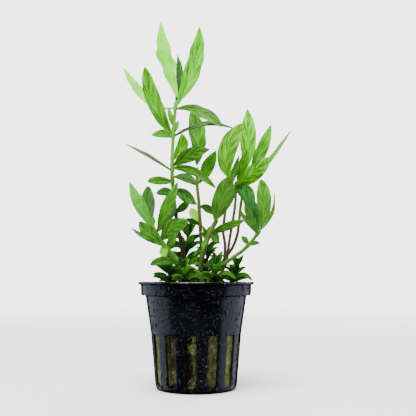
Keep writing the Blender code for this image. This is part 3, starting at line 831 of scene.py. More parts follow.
@dataclass(frozen=True)
class LeafLine:
    """A leaf's midrib from base to tip, and the way that its width runs at each point."""

    points: tuple[Vector, ...]
    across: tuple[Vector, ...]
    half_width: float
    fold: float

    grid: ClassVar[float] = 0.01 * MM
    rows: ClassVar[int] = 5
    row_points: ClassVar[int] = 6
    widest_row: ClassVar[float] = 0.973

    @classmethod
    def of_node(cls, node: str) -> "LeafLine":
        """Read the line from a leaf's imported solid.

        The solid has rows of three points on each face, and two points at its tip.

        Args:
            node: The CAD node.

        Returns:
            The line.
        """
        found = {}
        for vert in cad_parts[node].data.vertices:
            found[tuple(round(value / cls.grid) for value in vert.co)] = vert.co.copy()
        points = list(found.values())
        first, last = max(((a, b) for a in points for b in points),
                          key=lambda pair: (pair[0] - pair[1]).length)
        chord = (last - first).normalized()
        points.sort(key=lambda point: (point - first).dot(chord))
        if (points[2] - points[1]).dot(chord) > (points[-2] - points[-3]).dot(chord):
            points.reverse()
        lines = [cls._row(points[start:start + cls.row_points])
                 for start in range(0, cls.rows * cls.row_points, cls.row_points)]
        middles = [line[0] for line in lines] + [0.5 * (points[-2] + points[-1])]
        across = cls._same_side([line[1] for line in lines], middles)
        half_width = max(line[2] for line in lines) / cls.widest_row
        fold = cls._fold(lines[2], across[2], middles)
        return cls(tuple(middles), tuple(across + [across[-1]]), half_width, fold)

    @staticmethod
    def _row(row: Sequence[Vector]) -> tuple[Vector, Vector, float, Vector]:
        """Return a row's midrib point, its way across, half its width and its margins' middle."""
        left, right = max(((a, b) for a in row for b in row),
                          key=lambda pair: (pair[0] - pair[1]).length)
        way = (right - left).normalized()
        placed = sorted(row, key=lambda point: (point - left).dot(way))
        low = 0.5 * (placed[0] + placed[1])
        middle = 0.5 * (placed[2] + placed[3])
        high = 0.5 * (placed[4] + placed[5])
        return middle, (high - low).normalized(), 0.5 * (high - low).length, 0.5 * (low + high)

    @staticmethod
    def _same_side(ways: list[Vector], middles: Sequence[Vector]) -> list[Vector]:
        """Return the ways across, turned so that the blade's face looks to the front."""
        chord = middles[-1] - middles[0]
        centre = len(ways) // 2
        if chord.cross(ways[centre]).dot(FRONT) < 0.0:
            ways[centre] = -ways[centre]
        return [way if way.dot(ways[centre]) > 0.0 else -way for way in ways]

    @staticmethod
    def _fold(line: tuple[Vector, Vector, float, Vector], across: Vector,
              middles: Sequence[Vector]) -> float:
        """Return how far the margins rise over the midrib, as a share of half the width."""
        middle, _, half_width, margins = line
        face = (middles[-1] - middles[0]).cross(across).normalized()
        return (margins - middle).dot(face) / half_width

    @classmethod
    def between(cls, base: Vector, tip: Vector, width: float, arch: float = 0.0,
                sway: float = 0.0, turn: float = 20.0, fold: float = 0.25) -> "LeafLine":
        """Return the line of a small leaf that bends evenly from base to tip.

        Args:
            base: Where it starts.
            tip: Where it ends.
            width: Its full width.
            arch: Rise of its middle.
            sway: Shift of its middle to the right.
            turn: Roll about its length, in degrees; at 0 its face looks to the front.
            fold: Rise of its margins, as a share of half its width.

        Returns:
            The line.
        """
        chord = tip - base
        ahead = chord.normalized()
        side = ahead.cross(FRONT)
        side = Matrix.Rotation(math.radians(turn), 3, ahead) @ side.normalized()
        middle = 0.5 * chord + 2.0 * (arch * UP + sway * Vector((1.0, 0.0, 0.0)))
        points = []
        ways = []
        for step in range(6):
            share = step / 5.0
            points.append(base + 2.0 * share * (1.0 - share) * middle + share * share * chord)
            heading = ((1.0 - 2.0 * share) * 2.0 * middle + 2.0 * share * chord).normalized()
            ways.append(-(side - heading * side.dot(heading)).normalized())
        return cls(tuple(points), tuple(ways), 0.5 * width, fold)

    def frame(self) -> Matrix:
        """Return the leaf's own axes: X to the tip, Y across and Z out of its face."""
        ahead = (self.points[-1] - self.points[0]).normalized()
        way = self.across[len(self.across) // 2]
        way = (way - ahead * way.dot(ahead)).normalized()
        face = ahead.cross(way)
        axes = Matrix((ahead, way, face)).transposed().to_4x4()
        return Matrix.Translation(self.points[0]) @ axes


class BladeStock:
    """Flat leaf blades, modelled once for each form and copied for each leaf.

    A stock blade is 1 long and 1 wide to each side. Its rows are its side veins, which lean
    towards the tip.
    """

    rows = 24
    columns = 8
    lean = 0.13
    stalk = 0.14
    quilt = 0.09
    groove = 0.14

    def __init__(self) -> None:
        """Model every form."""
        self.blades = {form: self._model(form) for form in BladeForm}
        self.wave = bpy.data.textures.new("leaf_waves", "CLOUDS")
        self.wave.noise_scale = 7.0 * MM
        self.wave.noise_depth = 1
        bpy.ops.object.empty_add(location=(0.0, 0.0, 0.0))
        self.wave_place = bpy.context.object
        self.made = 0

    def _row_width(self, form: BladeForm, share: float) -> float:
        """Return half the width of a row, whose ends lean forward to a later share."""
        half = form.half_width(share)
        for _ in range(12):
            half = 0.5 * half + 0.5 * form.half_width(share + self.lean * half)
        bare = self.stalk * (1.0 - share) * min(1.0, 4.0 * (1.0 - share))
        return max(half, bare)

    def _model(self, form: BladeForm) -> bpy.types.Object:
        """Model one form from a grid.

        Args:
            form: The outline.

        Returns:
            The stock blade, hidden.
        """
        bpy.ops.object.select_all(action="DESELECT")
        bpy.ops.mesh.primitive_grid_add(x_subdivisions=self.rows, y_subdivisions=self.columns,
                                        size=1.0, location=(0.5, 0.0, 0.0))
        blade = bpy.context.object
        blade.name = f"stock_{form.name.lower()}"
        apply_place(blade)
        near = 0.25 / self.rows
        with edit_mode():
            for row in range(self.rows + 1):
                share = row / self.rows
                width = self._row_width(form, share) if row < self.rows else 0.0
                pick_points(blade, lambda place: abs(place.x - share) < near)
                bpy.ops.transform.resize(value=(1.0, 2.0 * width, 1.0),
                                         center_override=(share, 0.0, 0.0))
            bpy.ops.mesh.select_all(action="SELECT")
            bpy.ops.mesh.remove_doubles(threshold=0.0001)
        self._weigh(blade, form)
        displace(blade, "reach", "X", self.lean)
        displace(blade, "panel", "Z", self.quilt)
        displace(blade, "midrib", "Z", -self.groove)
        apply_modifiers(blade)
        blade.hide_render = True
        blade.hide_viewport = True
        return blade

    def _weigh(self, blade: bpy.types.Object, form: BladeForm) -> None:
        """Give a blade the groups that bend, quilt and thicken it."""
        names = ("reach", "panel", "midrib", "body")
        groups = {name: blade.vertex_groups.new(name=name) for name in names}
        for vert in blade.data.vertices:
            row = round(vert.co.x * self.rows)
            width = max(self._row_width(form, vert.co.x), 0.001)
            column = min(abs(vert.co.y) / width, 1.0) if row < self.rows else 0.0
            panel = math.sin(math.pi * column) ** 0.5 if row % 2 else 0.0
            panel *= min(1.0, width * 2.0)
            middle = 1.0 if column < 0.1 else 0.0
            end = max(0.0, 1.0 - vert.co.x / 0.14)
            body = max(1.0 - 2.4 * column, 0.34, end)
            weights = {"reach": min(abs(vert.co.y), 1.0), "panel": panel,
                       "midrib": middle * min(1.0, 1.6 * (1.0 - vert.co.x)), "body": body}
            for name, weight in weights.items():
                groups[name].add([vert.index], weight, "REPLACE")

    def grow(self, name: str, line: LeafLine, form: BladeForm, wave: float, sink: float,
             thickness: float, finer: int = 1, ragged: float = 0.17) -> bpy.types.Object:
        """Bend a copy of a stock blade along a leaf's line.

        Args:
            name: Name of the leaf.
            line: Its line.
            form: Its outline.
            wave: Height of the waves in its margins, as a share of half its width.
            sink: How far its base reaches back into its stem.
            thickness: Thickness at its midrib.
            finer: How often its faces are split to smooth it.
            ragged: How far its margins wander sideways, as a share of half its width.

        Returns:
            The finished blade.
        """
        self.made += 1
        length = sum((b - a).length for a, b in zip(line.points, line.points[1:]))
        blade = copy_piece(self.blades[form], name)
        blade.scale = (length, line.half_width, line.half_width)
        apply_place(blade)
        displace(blade, "reach", "Z", line.fold * line.half_width)
        for direction, height in (("Z", wave), ("Y", ragged)):
            ripple = displace(blade, "reach", direction, 2.0 * height * line.half_width)
            ripple.texture = self.wave
            ripple.texture_coords = "OBJECT"
            ripple.texture_coords_object = self.wave_place
            ripple.mid_level = 0.5
        self.wave_place.location = (0.11 * self.made, 0.05 * (self.made % 7), 0.0)
        guide = self._guide(line, sink)
        bend = blade.modifiers.new("bend", "CURVE")
        bend.object = guide
        bend.deform_axis = "POS_X"
        solid = blade.modifiers.new("thickness", "SOLIDIFY")
        solid.thickness = thickness
        solid.offset = 0.0
        solid.vertex_group = "body"
        if finer:
            smooth = blade.modifiers.new("smooth", "SUBSURF")
            smooth.levels = finer
            smooth.render_levels = finer
        bpy.context.view_layer.update()
        apply_modifiers(blade)
        bpy.data.objects.remove(guide)
        blade.matrix_world = line.frame()
        apply_place(blade)
        blade.vertex_groups.clear()
        bpy.ops.object.shade_smooth()
        return blade

    def _guide(self, line: LeafLine, sink: float) -> bpy.types.Object:
        """Return the curve that a blade is bent along, in the leaf's own axes.

        Args:
            line: The leaf's line.
            sink: How far the base reaches back.

        Returns:
            The guide.
        """
        inward = line.frame().inverted()
        turned = inward.to_3x3()
        places = [inward @ point for point in line.points]
        ways = [turned @ way for way in line.across]
        places[0] = places[0] - (places[1] - places[0]).normalized() * sink
        bpy.ops.curve.primitive_bezier_curve_add(location=(0.0, 0.0, 0.0))
        guide = bpy.context.object
        guide.data.twist_mode = "Z_UP"
        guide.data.use_stretch = True
        guide.data.use_deform_bounds = True
        guide.data.resolution_u = 10
        spline = guide.data.splines[0]
        spline.tilt_interpolation = "BSPLINE"
        spline.bezier_points.add(len(places) - 2)
        for index, knot in enumerate(spline.bezier_points):
            knot.co = places[index]
            knot.handle_left_type = "AUTO"
            knot.handle_right_type = "AUTO"
            before = places[max(index - 1, 0)]
            after = places[min(index + 1, len(places) - 1)]
            ahead = (after - before).normalized()
            level = UP.cross(ahead).normalized()
            rise = ahead.cross(level)
            knot.tilt = math.atan2(ways[index].dot(rise), ways[index].dot(level))
        return guide

    def clear(self) -> None:
        """Remove the stock blades and what shaped them."""
        for blade in self.blades.values():
            bpy.data.objects.remove(blade)
        bpy.data.objects.remove(self.wave_place)


YOUNG = "young_leaf"
GROWN = "grown_leaf"
OLD = "old_leaf"

LEAF_THICKNESS = 0.55 * MM
LEAF_SINK = 1.2 * MM
SMALL_LEAF_THICKNESS = 0.45 * MM
THIN_LEAF_THICKNESS = 0.40 * MM


@dataclass(frozen=True)
class LeafLook:
    """How one of the large leaves is dressed; its place comes from its node."""

    node: str
    tone: LeafTone
    form: BladeForm = BladeForm.LANCE
    wave: float = 0.26
    slot: str = GROWN
    ragged: float = 0.17


LEAVES = (
    LeafLook("tall_leaf_top_left", LeafTone.PALEST, wave=0.55, slot=YOUNG, ragged=0.9),
    LeafLook("tall_leaf_top_right", LeafTone.PALE, wave=0.36, slot=YOUNG),
    LeafLook("tall_leaf_top_back", LeafTone.DEEP, slot=OLD),
    LeafLook("tall_leaf_second_far_left", LeafTone.PALEST, slot=YOUNG),
    LeafLook("tall_leaf_second_right", LeafTone.GROWN, BladeForm.BROAD, wave=0.20),
    LeafLook("tall_leaf_third_left", LeafTone.SPRING, BladeForm.BROAD, slot=YOUNG),
    LeafLook("tall_leaf_third_right", LeafTone.DEEP, slot=OLD),
    LeafLook("tall_leaf_third_back", LeafTone.FRESH, wave=0.3, slot=YOUNG),
    LeafLook("tall_leaf_fourth_inner", LeafTone.FRESH, slot=YOUNG),
    LeafLook("tall_leaf_fourth_right", LeafTone.GROWN, slot=OLD),
    LeafLook("tall_leaf_fourth_left", LeafTone.DIM),
    LeafLook("tall_leaf_fourth_strap", LeafTone.GROWN, BladeForm.STRAP, wave=0.20),
    LeafLook("tall_leaf_fifth_left", LeafTone.GROWN, BladeForm.BROAD),
    LeafLook("tall_leaf_fifth_right", LeafTone.SHEEN_GREY),
    LeafLook("tall_leaf_sixth_left", LeafTone.DEEP, BladeForm.BROAD, wave=0.24, slot=OLD),
    LeafLook("tall_leaf_sixth_right", LeafTone.DEEP, wave=0.24, slot=OLD),
    LeafLook("centre_leaf_top", LeafTone.BRIGHT, BladeForm.BROAD),
    LeafLook("centre_leaf_upper_right", LeafTone.BRIGHT, slot=OLD),
    LeafLook("centre_leaf_low_left", LeafTone.BACKLIT_GLOW, BladeForm.BROAD, slot=YOUNG),
    LeafLook("centre_leaf_low_right", LeafTone.DEEP, wave=0.24, slot=OLD),
    LeafLook("front_leaf_top", LeafTone.OLIVE, BladeForm.BROAD, wave=0.08),
    LeafLook("front_leaf_right", LeafTone.GROWN, BladeForm.STRAP, wave=0.20),
    LeafLook("front_leaf_down", LeafTone.DEEP, wave=0.24, slot=OLD),
    LeafLook("right_leaf_curved", LeafTone.STREAKED, BladeForm.BROAD, wave=0.22, slot=YOUNG),
    LeafLook("right_leaf_low_broad", LeafTone.FRESH, BladeForm.BROAD, wave=0.12, slot=YOUNG),
    LeafLook("right_leaf_inner", LeafTone.BRIGHT, slot=OLD),
    LeafLook("right_leaf_down", LeafTone.DEEP, BladeForm.BROAD, slot=OLD),
    LeafLook("right_leaf_tall", LeafTone.FRESH, slot=YOUNG),
    LeafLook("right_leaf_slanted", LeafTone.FRESH, slot=YOUNG),
    LeafLook("right_leaf_far", LeafTone.MINT),
    LeafLook("right_shoot_leaf_left", LeafTone.BLUE, BladeForm.BROAD, wave=0.10),
    LeafLook("right_shoot_leaf_up", LeafTone.GROWN, BladeForm.BROAD, slot=YOUNG),
    LeafLook("right_shoot_leaf_outer", LeafTone.BRIGHT),
    LeafLook("right_shoot_leaf_strap", LeafTone.GROWN, BladeForm.STRAP, slot=OLD),
    LeafLook("right_shoot_leaf_thin", LeafTone.DEEP, slot=OLD),
    LeafLook("left_shoot_leaf_far_left", LeafTone.MINT, BladeForm.LANCE, wave=0.2, slot=YOUNG),
    LeafLook("left_shoot_leaf_back_left", LeafTone.SHEEN_GREY, slot=YOUNG),
    LeafLook("left_shoot_leaf_centre", LeafTone.DEEP, BladeForm.BROAD, wave=0.10, slot=OLD),
    LeafLook("left_shoot_leaf_long_right", LeafTone.BRIGHT, BladeForm.LANCE, wave=0.26, slot=YOUNG),
    LeafLook("left_shoot_leaf_back_right", LeafTone.SHADE, BladeForm.BROAD),
    LeafLook("left_shoot_leaf_second_left", LeafTone.GROWN, BladeForm.BROAD),
    LeafLook("left_shoot_leaf_pale_left", LeafTone.DIM, slot=YOUNG),
    LeafLook("left_shoot_leaf_broad_right", LeafTone.GROWN, BladeForm.BROAD, wave=0.20),
    LeafLook("left_shoot_leaf_low_left", LeafTone.DEEP, BladeForm.BROAD, wave=0.20),
)


# Stems


@dataclass(frozen=True)
class Sprout:
    """A small leaf that is grown into its stem, in millimetres as the eye sees it."""

    node: float
    tip: tuple[float, float]
    depth: float
    width: float
    arch: float = 0.0
    tone: LeafTone = LeafTone.GROWN


@dataclass(frozen=True)
class StemPlan:
    """The route of one stem from its foot to its top, in millimetres as the eye sees it."""

    node: str
    foot: tuple[float, float]
    route: tuple[tuple[float, float, float], ...]
    foot_radius: float
    top_radius: float
    tone: StemTone
    sprouts: tuple[Sprout, ...] = ()


STEMS = (
    StemPlan("tall_stem", (-4.5, 2.0),
             ((-4.8, 51.8, 2.0), (-6.7, 66.2, 2.0), (-9.6, 82.6, 2.0), (-11.3, 98.4, 1.5),
              (-11.5, 107.0, 1.0), (-11.0, 121.4, 0.5), (-10.1, 133.4, 0.0),
              (-9.7, 138.0, 0.0)),
             1.1, 0.75, StemTone.TALL,
             (Sprout(124.8, (-13.6, 134.9), -1.0, 2.6, tone=LeafTone.FRESH),
              Sprout(121.9, (-8.4, 128.6), 0.0, 2.4, tone=LeafTone.MINT),
              Sprout(84.0, (-2.9, 90.2), -5.0, 4.0, tone=LeafTone.DEEP))),
    StemPlan("centre_stem", (2.4, 7.0),
             ((2.4, 66.2, 7.0), (2.2, 73.4, 7.0), (1.2, 90.2, 7.0), (0.5, 97.4, 7.0),
              (0.5, 106.0, 7.0)),
             0.95, 0.8, StemTone.RED,
             (Sprout(77.8, (-6.2, 80.6), 4.0, 2.6, 1.0, LeafTone.SHADE),)),
    StemPlan("front_stem", (1.0, -5.0),
             ((1.9, 56.6, -5.5), (3.4, 64.8, -6.0), (5.3, 71.0, -6.5), (7.7, 76.8, -7.0),
              (10.1, 81.0, -7.5)),
             1.3, 1.1, StemTone.FRONT,
             (Sprout(73.0, (3.0, 66.0), -10.0, 2.4, 1.0),)),
    StemPlan("right_front_stem", (11.0, 4.0),
             ((11.5, 51.8, 4.0), (13.4, 60.5, 4.0), (13.9, 68.6, 4.0), (13.0, 75.4, 4.0),
              (14.4, 87.8, 3.5), (15.2, 95.0, 3.0), (15.4, 101.0, 3.0)),
             0.75, 0.7, StemTone.RED,
             (Sprout(93.5, (20.6, 111.8), 7.0, 3.2),)),
    StemPlan("right_middle_stem", (9.0, 9.5),
             ((10.5, 51.0, 9.5), (14.4, 60.5, 9.5), (15.8, 69.6, 9.5), (16.8, 75.8, 9.5),
              (18.7, 87.8, 9.0), (19.2, 99.4, 8.0)),
             0.75, 0.7, StemTone.RED),
    StemPlan("right_back_stem", (5.5, 13.0),
             ((7.7, 52.8, 13.0), (12.5, 60.5, 13.5), (17.3, 67.2, 14.0), (19.7, 73.4, 14.0),
              (20.6, 79.7, 14.0), (21.4, 87.4, 14.0), (22.6, 95.0, 14.0),
              (24.5, 104.0, 14.0)),
             0.8, 0.75, StemTone.RED),
    StemPlan("right_shoot", (6.0, -6.0),
             ((7.7, 53.8, -6.0), (12.5, 58.6, -6.5), (17.3, 62.4, -7.0), (22.6, 66.2, -7.5),
              (25.9, 69.6, -8.0), (30.2, 75.0, -8.5), (30.9, 76.3, -8.5)),
             1.0, 0.8, StemTone.GREEN,
             (Sprout(69.0, (21.6, 73.0), -9.0, 3.0),
              Sprout(68.5, (30.7, 69.4), -9.0, 2.4, 0.8))),
    StemPlan("left_shoot", (4.0, -10.0),
             ((1.4, 54.2, -10.0), (-5.3, 59.0, -10.5), (-9.1, 61.4, -11.0),
              (-12.5, 65.3, -11.0), (-16.3, 69.6, -11.0), (-19.7, 75.0, -11.0),
              (-21.6, 78.0, -11.0)),
             1.5, 1.0, StemTone.GREEN,
             (Sprout(77.0, (-20.6, 82.6), -12.0, 2.4, tone=LeafTone.FRESH),
              Sprout(67.5, (-9.6, 73.4), -9.0, 4.0),
              Sprout(69.0, (-14.9, 62.4), -14.5, 4.4, tone=LeafTone.FRESH),
              Sprout(60.5, (-6.2, 55.2), -14.0, 3.4))),
)

WOOL_TOP = 42.0 * MM
STEM_DEPTH_IN_WOOL = 6.0 * MM
STEM_ENTRY = WOOL_TOP + 1.0 * MM


def seen_point(across: float, up: float, depth: float) -> Vector:
    """Return the point at a depth that the eye sees at a width and height on the axis plane.

    Args:
        across: Width on the plane, in millimetres.
        up: Height on the plane, in millimetres.
        depth: Depth behind the plane, in millimetres.

    Returns:
        The point, in metres.
    """
    plane = Vector((across, 0.0, up)) * MM
    share = (depth * MM - EYE.y) / (0.0 - EYE.y)
    return EYE + (plane - EYE) * share


def smooth_route(corners: Sequence[Vector], step: float) -> list[Vector]:
    """Return points along a smooth line through a route's corners.

    Args:
        corners: The route.
        step: Distance between points, in metres.

    Returns:
        The points, from the first corner to the last.
    """
    points = []
    last = len(corners) - 1
    for index in range(last):
        a = corners[max(index - 1, 0)]
        b = corners[index]
        c = corners[index + 1]
        d = corners[min(index + 2, last)]
        span = (c - b).length
        slope_b = (c - a).normalized() * span
        slope_c = (d - b).normalized() * span
        count = max(1, round(span / step))
        for part in range(count):
            t = part / count
            points.append((2 * t ** 3 - 3 * t ** 2 + 1) * b + (t ** 3 - 2 * t ** 2 + t) * slope_b
                          + (3 * t ** 2 - 2 * t ** 3) * c + (t ** 3 - t ** 2) * slope_c)
    points.append(corners[last])
    return points


@dataclass
class Stem:
    """One stem, swollen where its leaves stand, with the small leaves grown into it."""

    plan: StemPlan
    above: tuple[Vector, ...] = ()
    step: float = 0.7 * MM
    swelling: float = 0.26
    swollen: float = 1.0 * MM
    joint_reach: float = 3.0 * MM
    tip_taper: tuple[float, ...] = (0.45, 0.8, 0.95, 1.0)

    def corners(self) -> list[Vector]:
        """Return the route's corners, from the foot in the wool to the top."""
        x, y = self.plan.foot
        foot = Vector((x * MM, y * MM, WOOL_TOP - STEM_DEPTH_IN_WOOL))
        if self.above:
            return [foot, *self.above]
        entry = Vector((x * MM, y * MM, STEM_ENTRY))
        return [foot, entry] + [seen_point(*place) for place in self.plan.route]

    def start_of(self, node: float) -> Vector:
        """Return the stem's centre where it is seen at a height.

        Args:
            node: The height, in millimetres.

        Returns:
            The centre.
        """
        corners = self.corners()
        heights = [(WOOL_TOP - STEM_DEPTH_IN_WOOL) / MM, STEM_ENTRY / MM]
        heights += [place[1] for place in self.plan.route]
        for index in range(len(corners) - 1):
            if heights[index] <= node <= heights[index + 1]:
                share = (node - heights[index]) / (heights[index + 1] - heights[index])
                return corners[index].lerp(corners[index + 1], share)
        return corners[-1]

    def tube(self, joints: Sequence[Vector]) -> bpy.types.Object:
        """Model the stem as a round tube.

        Args:
            joints: Where leaves stand on it.

        Returns:
            The tube.
        """
        points = smooth_route(self.corners(), self.step)
        tube = bare_curve()
        tube.name = f"{self.plan.node}_tube"
        tube.data.dimensions = "3D"
        tube.data.bevel_depth = 1.0
        tube.data.bevel_resolution = 4
        tube.data.use_fill_caps = True
        tube.data.splines.clear()
        spline = tube.data.splines.new("POLY")
        spline.points.add(len(points) - 1)
        last = len(points) - 1
        for index, knot in enumerate(spline.points):
            share = index / last
            radius = self.plan.foot_radius * (1.0 - share) + self.plan.top_radius * share
            near = min(((points[index] - joint).length for joint in joints), default=1.0)
            radius *= 1.0 + self.swelling * math.exp(-(near / self.swollen) ** 2)
            radius *= self.tip_taper[min(last - index, len(self.tip_taper) - 1)]
            knot.co = (*points[index], 1.0)
            knot.radius = radius * MM
        bpy.ops.object.convert(target="MESH")
        with edit_mode():
            bpy.ops.mesh.select_all(action="SELECT")
            bpy.ops.mesh.remove_doubles(threshold=0.01 * MM)
        bpy.ops.object.shade_smooth()
        return tube

    def build(self, stock: BladeStock, lines: Iterable[LeafLine],
              paint: Paint) -> bpy.types.Object:
        """Build the stem with its small leaves.

        Args:
            stock: The stock blades.
            lines: The lines of the large leaves.
            paint: The materials.

        Returns:
            The finished piece.
        """
        points = smooth_route(self.corners(), self.step)
        joints = []
        for line in lines:
            nearest = min(points, key=lambda point: (point - line.points[0]).length)
            if (nearest - line.points[0]).length < self.joint_reach:
                joints.append(nearest)
        joints += [self.start_of(sprout.node) for sprout in self.plan.sprouts]
        tube = self.tube(joints)
        dress(tube, paint.of(self.plan.tone))
        parts = [tube]
        for index, sprout in enumerate(self.plan.sprouts):
            base = self.start_of(sprout.node)
            tip = seen_point(*sprout.tip, sprout.depth)
            line = LeafLine.between(base, tip, sprout.width * MM, sprout.arch * MM)
            blade = stock.grow(f"{self.plan.node}_sprout_{index}", line, BladeForm.LANCE,
                               0.25, 0.0, SMALL_LEAF_THICKNESS, 0)
            dress(blade, paint.of(sprout.tone))
            parts.append(blade)
        return join_pieces(parts, f"{self.plan.node}_grown")


@dataclass(frozen=True)
class SprigPlan:
    """A short shoot at the foot of the plant, in millimetres."""

    node: str
    foot: tuple[float, float]
    top: tuple[float, float, float]
    bearing: float
    leaf_length: float
    tones: tuple[LeafTone, ...]
    pairs: int = 4
    wisps: int = 7
    slot: str = OLD


SPRIGS = (
    SprigPlan("sprig_left", (-11.0, -5.0), (-13.5, -6.0, 59.0), 15.0, 9.5,
              (LeafTone.GROWN, LeafTone.SHADE, LeafTone.DEEP), slot=GROWN),
    SprigPlan("sprig_front", (-4.0, -15.5), (-5.5, -18.0, 58.0), 25.0, 7.6,
              (LeafTone.DEEP, LeafTone.SHADE, LeafTone.BRIGHT, LeafTone.SHADE)),
    SprigPlan("sprig_front_right", (8.5, -12.5), (10.0, -14.5, 60.0), 30.0, 8.5,
              (LeafTone.DEEP, LeafTone.SHADE, LeafTone.GROWN, LeafTone.SHADE)),
    SprigPlan("sprig_right", (17.0, -3.0), (20.0, -3.0, 59.0), 15.0, 8.0,
              (LeafTone.DEEP, LeafTone.GROWN, LeafTone.SHADE), slot=GROWN),
    SprigPlan("sprig_back_left", (-7.0, 10.0), (-4.0, 12.0, 76.0), 40.0, 11.0,
              (LeafTone.GROWN, LeafTone.DEEP, LeafTone.BRIGHT), wisps=20),
    SprigPlan("sprig_centre", (5.5, 1.0), (5.0, 1.5, 73.0), 45.0, 8.0,
              (LeafTone.GROWN, LeafTone.BRIGHT, LeafTone.DEEP), wisps=20),
)


def heading(bearing: float, slope: float) -> Vector:
    """Return the unit direction at a bearing and a slope, in radians."""
    return Vector((math.cos(bearing) * math.cos(slope), math.sin(bearing) * math.cos(slope),
                   math.sin(slope)))


@dataclass
class Sprig:
    """One short shoot with pairs of small leaves, each pair a quarter turn on."""

    plan: SprigPlan
    radius: float = 0.65
    top_slope: float = 62.0
    slope_step: float = 20.0
    pair_step: float = 0.2
    leaf_width: float = 0.31
    between_width: float = 0.25
    between_turns: tuple[float, ...] = (48.0, -42.0, 82.0)
    wisp_width: float = 0.20
    wisp_arch: float = 0.26
    wisp_turn: float = 137.5

    def spine(self) -> tuple[Vector, Vector, Vector]:
        """Return the entry, the bend and the top of the shoot."""
        x, y = self.plan.foot
        top = Vector(self.plan.top) * MM
        entry = Vector((x * MM, y * MM, STEM_ENTRY))
        return entry, Vector((entry.x, entry.y, 0.6 * entry.z + 0.4 * top.z)), top

    def place(self, share: float) -> Vector:
        """Return the point at a share of the shoot's length."""
        entry, bend, top = self.spine()
        return entry.lerp(bend, share).lerp(bend.lerp(top, share), share)

    def between_pairs(self, pair: int, bearing: float, slope: float,
                      length: float) -> LeafLine:
        """Return the line of a leaf that stands between one pair and the next.

        Args:
            pair: The pair above it, counted from the top.
            bearing: Its bearing.
            slope: That pair's slope.
            length: Length of that pair's leaves.

        Returns:
            The line.
        """
        base = self.place(0.92 - self.pair_step * pair)
        reach = heading(bearing, slope - math.radians(6.0))
        return LeafLine.between(base, base + reach * length, self.between_width * length,
                                1.2 * MM, 0.0, 10.0)

    def wisp(self, index: int) -> LeafLine:
        """Return the line of one of the thin arching leaves, counted from the lowest."""
        base = self.place(0.05 + 0.8 * index / self.plan.wisps)
        bearing = math.radians(self.plan.bearing + self.wisp_turn * index)
        out = Vector((math.cos(bearing), math.sin(bearing), 0.0))
        length = self.plan.leaf_length * (1.0 + 0.15 * (index % 3)) * MM
        tip = base + out * 0.85 * length + UP * (0.55 - 0.3 * (index % 3)) * length
        return LeafLine.between(base, tip, self.wisp_width * length,
                                self.wisp_arch * length, 0.0, 0.0)

    def pair_of_leaves(self, pair: int, base: Vector, stock: BladeStock,
                       paint: Paint) -> list[bpy.types.Object]:
        """Grow a pair of leaves, and those that stand below it.

        Args:
            pair: The pair, counted from the top.
            base: Where it stands on the shoot.
            stock: The stock blades.
            paint: The materials.

        Returns:
            The leaves.
        """
        tones = self.plan.tones
        slope = math.radians(self.top_slope - self.slope_step * pair)
        length = self.plan.leaf_length * (0.75 + 0.12 * pair) * MM
        leaves = []
        for side in (0, 180):
            bearing = math.radians(self.plan.bearing + 90.0 * pair + side)
            line = LeafLine.between(base, base + heading(bearing, slope) * length,
                                    self.leaf_width * length, 0.9 * MM, 0.0, 0.0)
            blade = stock.grow(f"{self.plan.node}_leaf_{pair}_{side}", line, BladeForm.LANCE,
                               0.3, 0.0, SMALL_LEAF_THICKNESS, 0)
            dress(blade, paint.of(tones[(pair + int(side > 0)) % len(tones)]))
            leaves.append(blade)
            for index, turn in enumerate(self.between_turns):
                line = self.between_pairs(pair, bearing + math.radians(turn), slope, length)
                blade = stock.grow(f"{self.plan.node}_more_{pair}_{side}_{index}", line,
                                   BladeForm.LANCE, 0.3, 0.0, THIN_LEAF_THICKNESS, 0)
                tone = tones[(pair + index + int(side == 0)) % len(tones)]
                dress(blade, paint.of(LeafTone.SHADE if index == 2 else tone))
                leaves.append(blade)
        return leaves

    def build(self, stock: BladeStock, paint: Paint) -> bpy.types.Object:
        """Build the shoot with its leaves.

        Args:
            stock: The stock blades.
            paint: The materials.

        Returns:
            The finished piece.
        """
        plan = StemPlan(self.plan.node, self.plan.foot, (), self.radius, self.radius,
                        StemTone.SPRIG)
        stem = Stem(plan, tuple(self.place(share / 6.0) for share in range(7)))
        joints = [self.place(1.0 - self.pair_step * pair) for pair in range(self.plan.pairs)]
        tube = stem.tube(joints)
        dress(tube, paint.of(StemTone.SPRIG))
        parts = [tube]
        for pair, joint in enumerate(joints):
            parts += self.pair_of_leaves(pair, joint - 0.4 * MM * UP, stock, paint)
        for index in range(self.plan.wisps):
            blade = stock.grow(f"{self.plan.node}_wisp_{index}", self.wisp(index),
                               BladeForm.STRAP, 0.2, 0.0, THIN_LEAF_THICKNESS, 0)
            dress(blade, paint.of((LeafTone.SHADE, LeafTone.DEEP, LeafTone.GROWN)[index % 3]))
            parts.append(blade)
        return join_pieces(parts, f"{self.plan.node}_grown")


# Net pot


